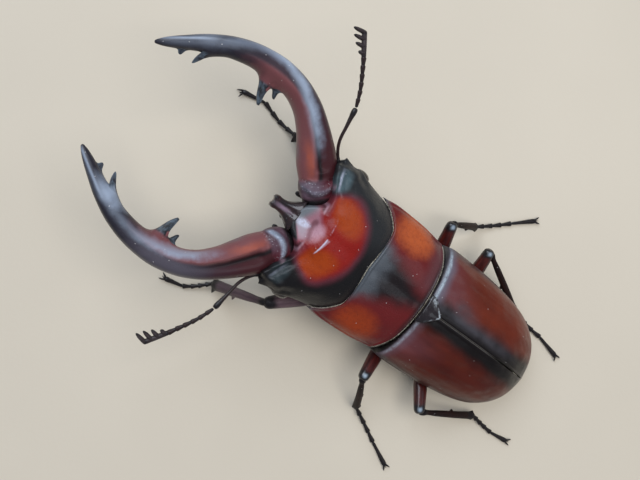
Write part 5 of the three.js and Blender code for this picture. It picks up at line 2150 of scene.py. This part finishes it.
    def claw_pair(self) -> Piece:
        """Two hooked claws and the small bristled peg between them, ahead of the origin."""
        claw = Rod(((0.1, -0.2, 0), (0.4, 0.4, 0.3), (0.66, 0.95, 0.14), (0.74, 1.3, -0.22)),
                   Profile((0, 0.2), (0.15, 0.24), (0.6, 0.18), (0.9, 0.09), (1, 0.03)), 10, 14)
        left = claw.build("claw_pair")
        right = mirror(left, "claw_right")
        bench = Bench("peg")
        bench.loft([Station(y, r, r) for y, r in ((-0.2, 0.14), (0.1, 0.16), (0.5, 0.12), (0.7, 0.08))], 8)
        for way in (1, -1):
            bench.bristle(Vector((0, 0.6, 0)), Vector((0.12 * way, 1, -0.05)), 0.04)
        peg = bench.leave()
        remember(peg, lambda p: (p.x, p.y * 5, p.z))
        return join([left, right, peg])

    def claws(self, leg: Leg, pair: Piece) -> Piece:
        """A leg's own copy of the claws, at the tip of its foot."""
        toe = Vector((*leg.foot[-1], self.foot_height))
        last = Vector((*leg.foot[-2], self.foot_height))
        piece = copy(pair, f"claws_{leg.word[4:]}")
        return settle(piece, aim(toe, toe * 2 - last) @ Matrix.Scale(0.8, 4))


# --- Floor, light and camera ---


@dataclass(frozen=True)
class Lamp:
    """A soft square light: place, width, power, colour, and whether shiny shells mirror it."""

    name: str
    place: Point
    width: float
    power: float
    colour: Colour
    mirrored: bool = True


@dataclass
class Studio:
    """A plain floor, soft lights and the camera."""

    floor_finish: FloorFinish
    lamps: tuple[Lamp, ...] = (
        Lamp("sky", (-120, -230, 300), 250, 0.86, (0.84, 0.91, 1)),
        Lamp("overhead", (-40, 30, 380), 220, 0.95, (1, 0.95, 0.88), mirrored=False),
        Lamp("haze", (-120, 190, 340), 200, 0.11, (0.86, 0.93, 1)),
        Lamp("behind", (-160, 320, 140), 160, 0.2, (0.9, 0.95, 1), mirrored=False),
    )
    eye: Point = (3.66, -21.275, 125.259)
    right: Point = (-0.57673, 0.81001, 0.10613)
    down: Point = (0.81650, 0.57578, 0.04256)
    ahead: Point = (-0.02663, 0.11120, -0.99344)
    aim_at: Point = (0, -8, 8)
    lens: float = 40
    sensor: float = 36
    clip: tuple[float, float] = (0.005, 10)
    surround: Colour = (0.80, 0.87, 1)
    surround_strength: float = 0.2
    floor_width: float = 1.6
    floor_flat: float = 0.7
    floor_rim: float = 0.002

    def build(self) -> None:
        """Sets everything up."""
        self.build_floor()
        for lamp in self.lamps:
            self.light(lamp)
        self.build_sky()
        self.build_camera()

    def build_floor(self) -> None:
        """A wide floor at height zero with softly rounded rims."""
        bench = Bench("floor")
        bpy.ops.mesh.primitive_grid_add(x_subdivisions=8, y_subdivisions=8, size=self.floor_width)
        bench.pick_where(lambda p: max(abs(p.x), abs(p.y)) > self.floor_flat).move(z=-self.floor_rim)
        floor = bench.leave()
        alone(floor)
        bpy.ops.object.shade_smooth()
        floor.data.materials.append(self.floor_finish.make())

    def light(self, lamp: Lamp) -> None:
        """Hangs one lamp, turned to the beetle."""
        place = Vector(lamp.place) * MM
        look = Vector(self.aim_at) * MM - place
        bpy.ops.object.light_add(type="AREA", location=place,
                                 rotation=look.to_track_quat("-Z", "Y").to_euler())
        made = bpy.context.object
        made.name = lamp.name
        made.data.size = lamp.width * MM
        made.data.energy = lamp.power
        made.data.color = lamp.colour
        made.visible_glossy = lamp.mirrored

    def build_sky(self) -> None:
        """An even, soft surround."""
        world = bpy.data.worlds.new("surround")
        bpy.context.scene.world = world
        world.use_nodes = True
        back = world.node_tree.nodes["Background"]
        back.inputs["Color"].default_value = (*self.surround, 1)
        back.inputs["Strength"].default_value = self.surround_strength
        bpy.context.scene.view_settings.view_transform = "Standard"

    def build_camera(self) -> None:
        """The camera above the beetle, turned as it looks down."""
        data = bpy.data.cameras.new("camera")
        data.lens = self.lens
        data.sensor_width = self.sensor
        data.clip_start, data.clip_end = self.clip
        camera = bpy.data.objects.new("camera", data)
        bpy.context.scene.collection.objects.link(camera)
        axes = (Vector(self.right), -Vector(self.down), -Vector(self.ahead))
        turn = Matrix(axes).transposed().to_4x4()
        camera.matrix_world = Matrix.Translation(Vector(self.eye) * MM) @ turn
        bpy.context.scene.camera = camera


def main() -> None:
    """Builds every part in order."""
    logging.basicConfig(level=logging.INFO, format="%(message)s", stream=sys.stdout)
    shiny, satin, wet = Gloss(0.39, 0.28, 0.13, 0.32), Gloss(0.46, 0.15, 0.26), Gloss(0.3, 0.75, 0.07)
    dull = Gloss(0.6, 0.08, 0.3, 0.2)
    Head(HeadFinish("head_finish", Gloss(0.43, 0.1, 0.2, 0.3)),
         EyeFinish("eye_finish", Gloss(0.2, 0.8, 0.08))).build()
    Pronotum(PronotumFinish("pronotum_finish", shiny), HairFinish("pale_hair")).build()
    WingCases(WingCaseFinish("wing_case_finish", Gloss(0.4, 0.24, 0.14, 0.26), pit_depth=0.02)).build()
    SmallPlates(ScutellumFinish("scutellum_finish", wet), ClypeusFinish("clypeus_finish", wet),
                BlackShell("mouth_black", satin)).build()
    Underside(BlackShell("belly_brown", satin, warm=rgb(74, 44, 34))).build()
    Jaws(JawFinish("jaw_finish", Gloss(0.42, 0.28, 0.18), pit_depth=0.02)).build()
    Feelers(LimbFinish("feeler_finish", shiny, shaft=rgb(40, 26, 26), shade=rgb(24, 18, 20)),
            LimbFinish("club_finish", satin, shaft=rgb(58, 50, 52), shade=rgb(36, 30, 32))).build()
    # The garnet thighs carry a painted highlight on the knee.
    garnet = LimbFinish("thigh_finish", Gloss(0.34, 0.6, 0.09), shaft=rgb(84, 26, 20), shade=rgb(44, 16, 16),
                        knee=0.6)
    purple = LimbFinish("fore_thigh_finish", satin, shaft=rgb(104, 84, 92), shade=rgb(74, 58, 66))
    dusky = LimbFinish("fore_shin_finish", satin, shaft=rgb(92, 74, 82), shade=rgb(66, 52, 60))
    brown = LimbFinish("limb_finish", dull, shaft=rgb(40, 22, 19), shade=rgb(22, 14, 14))
    Legs({"other": garnet, "front_left": purple}, {"other": brown, "front_left": dusky},
         LimbFinish("foot_finish", shiny, shaft=rgb(30, 24, 25), shade=rgb(20, 17, 19))).build()
    Studio(FloorFinish("pale_floor")).build()


if __name__ == "__main__":
    main()
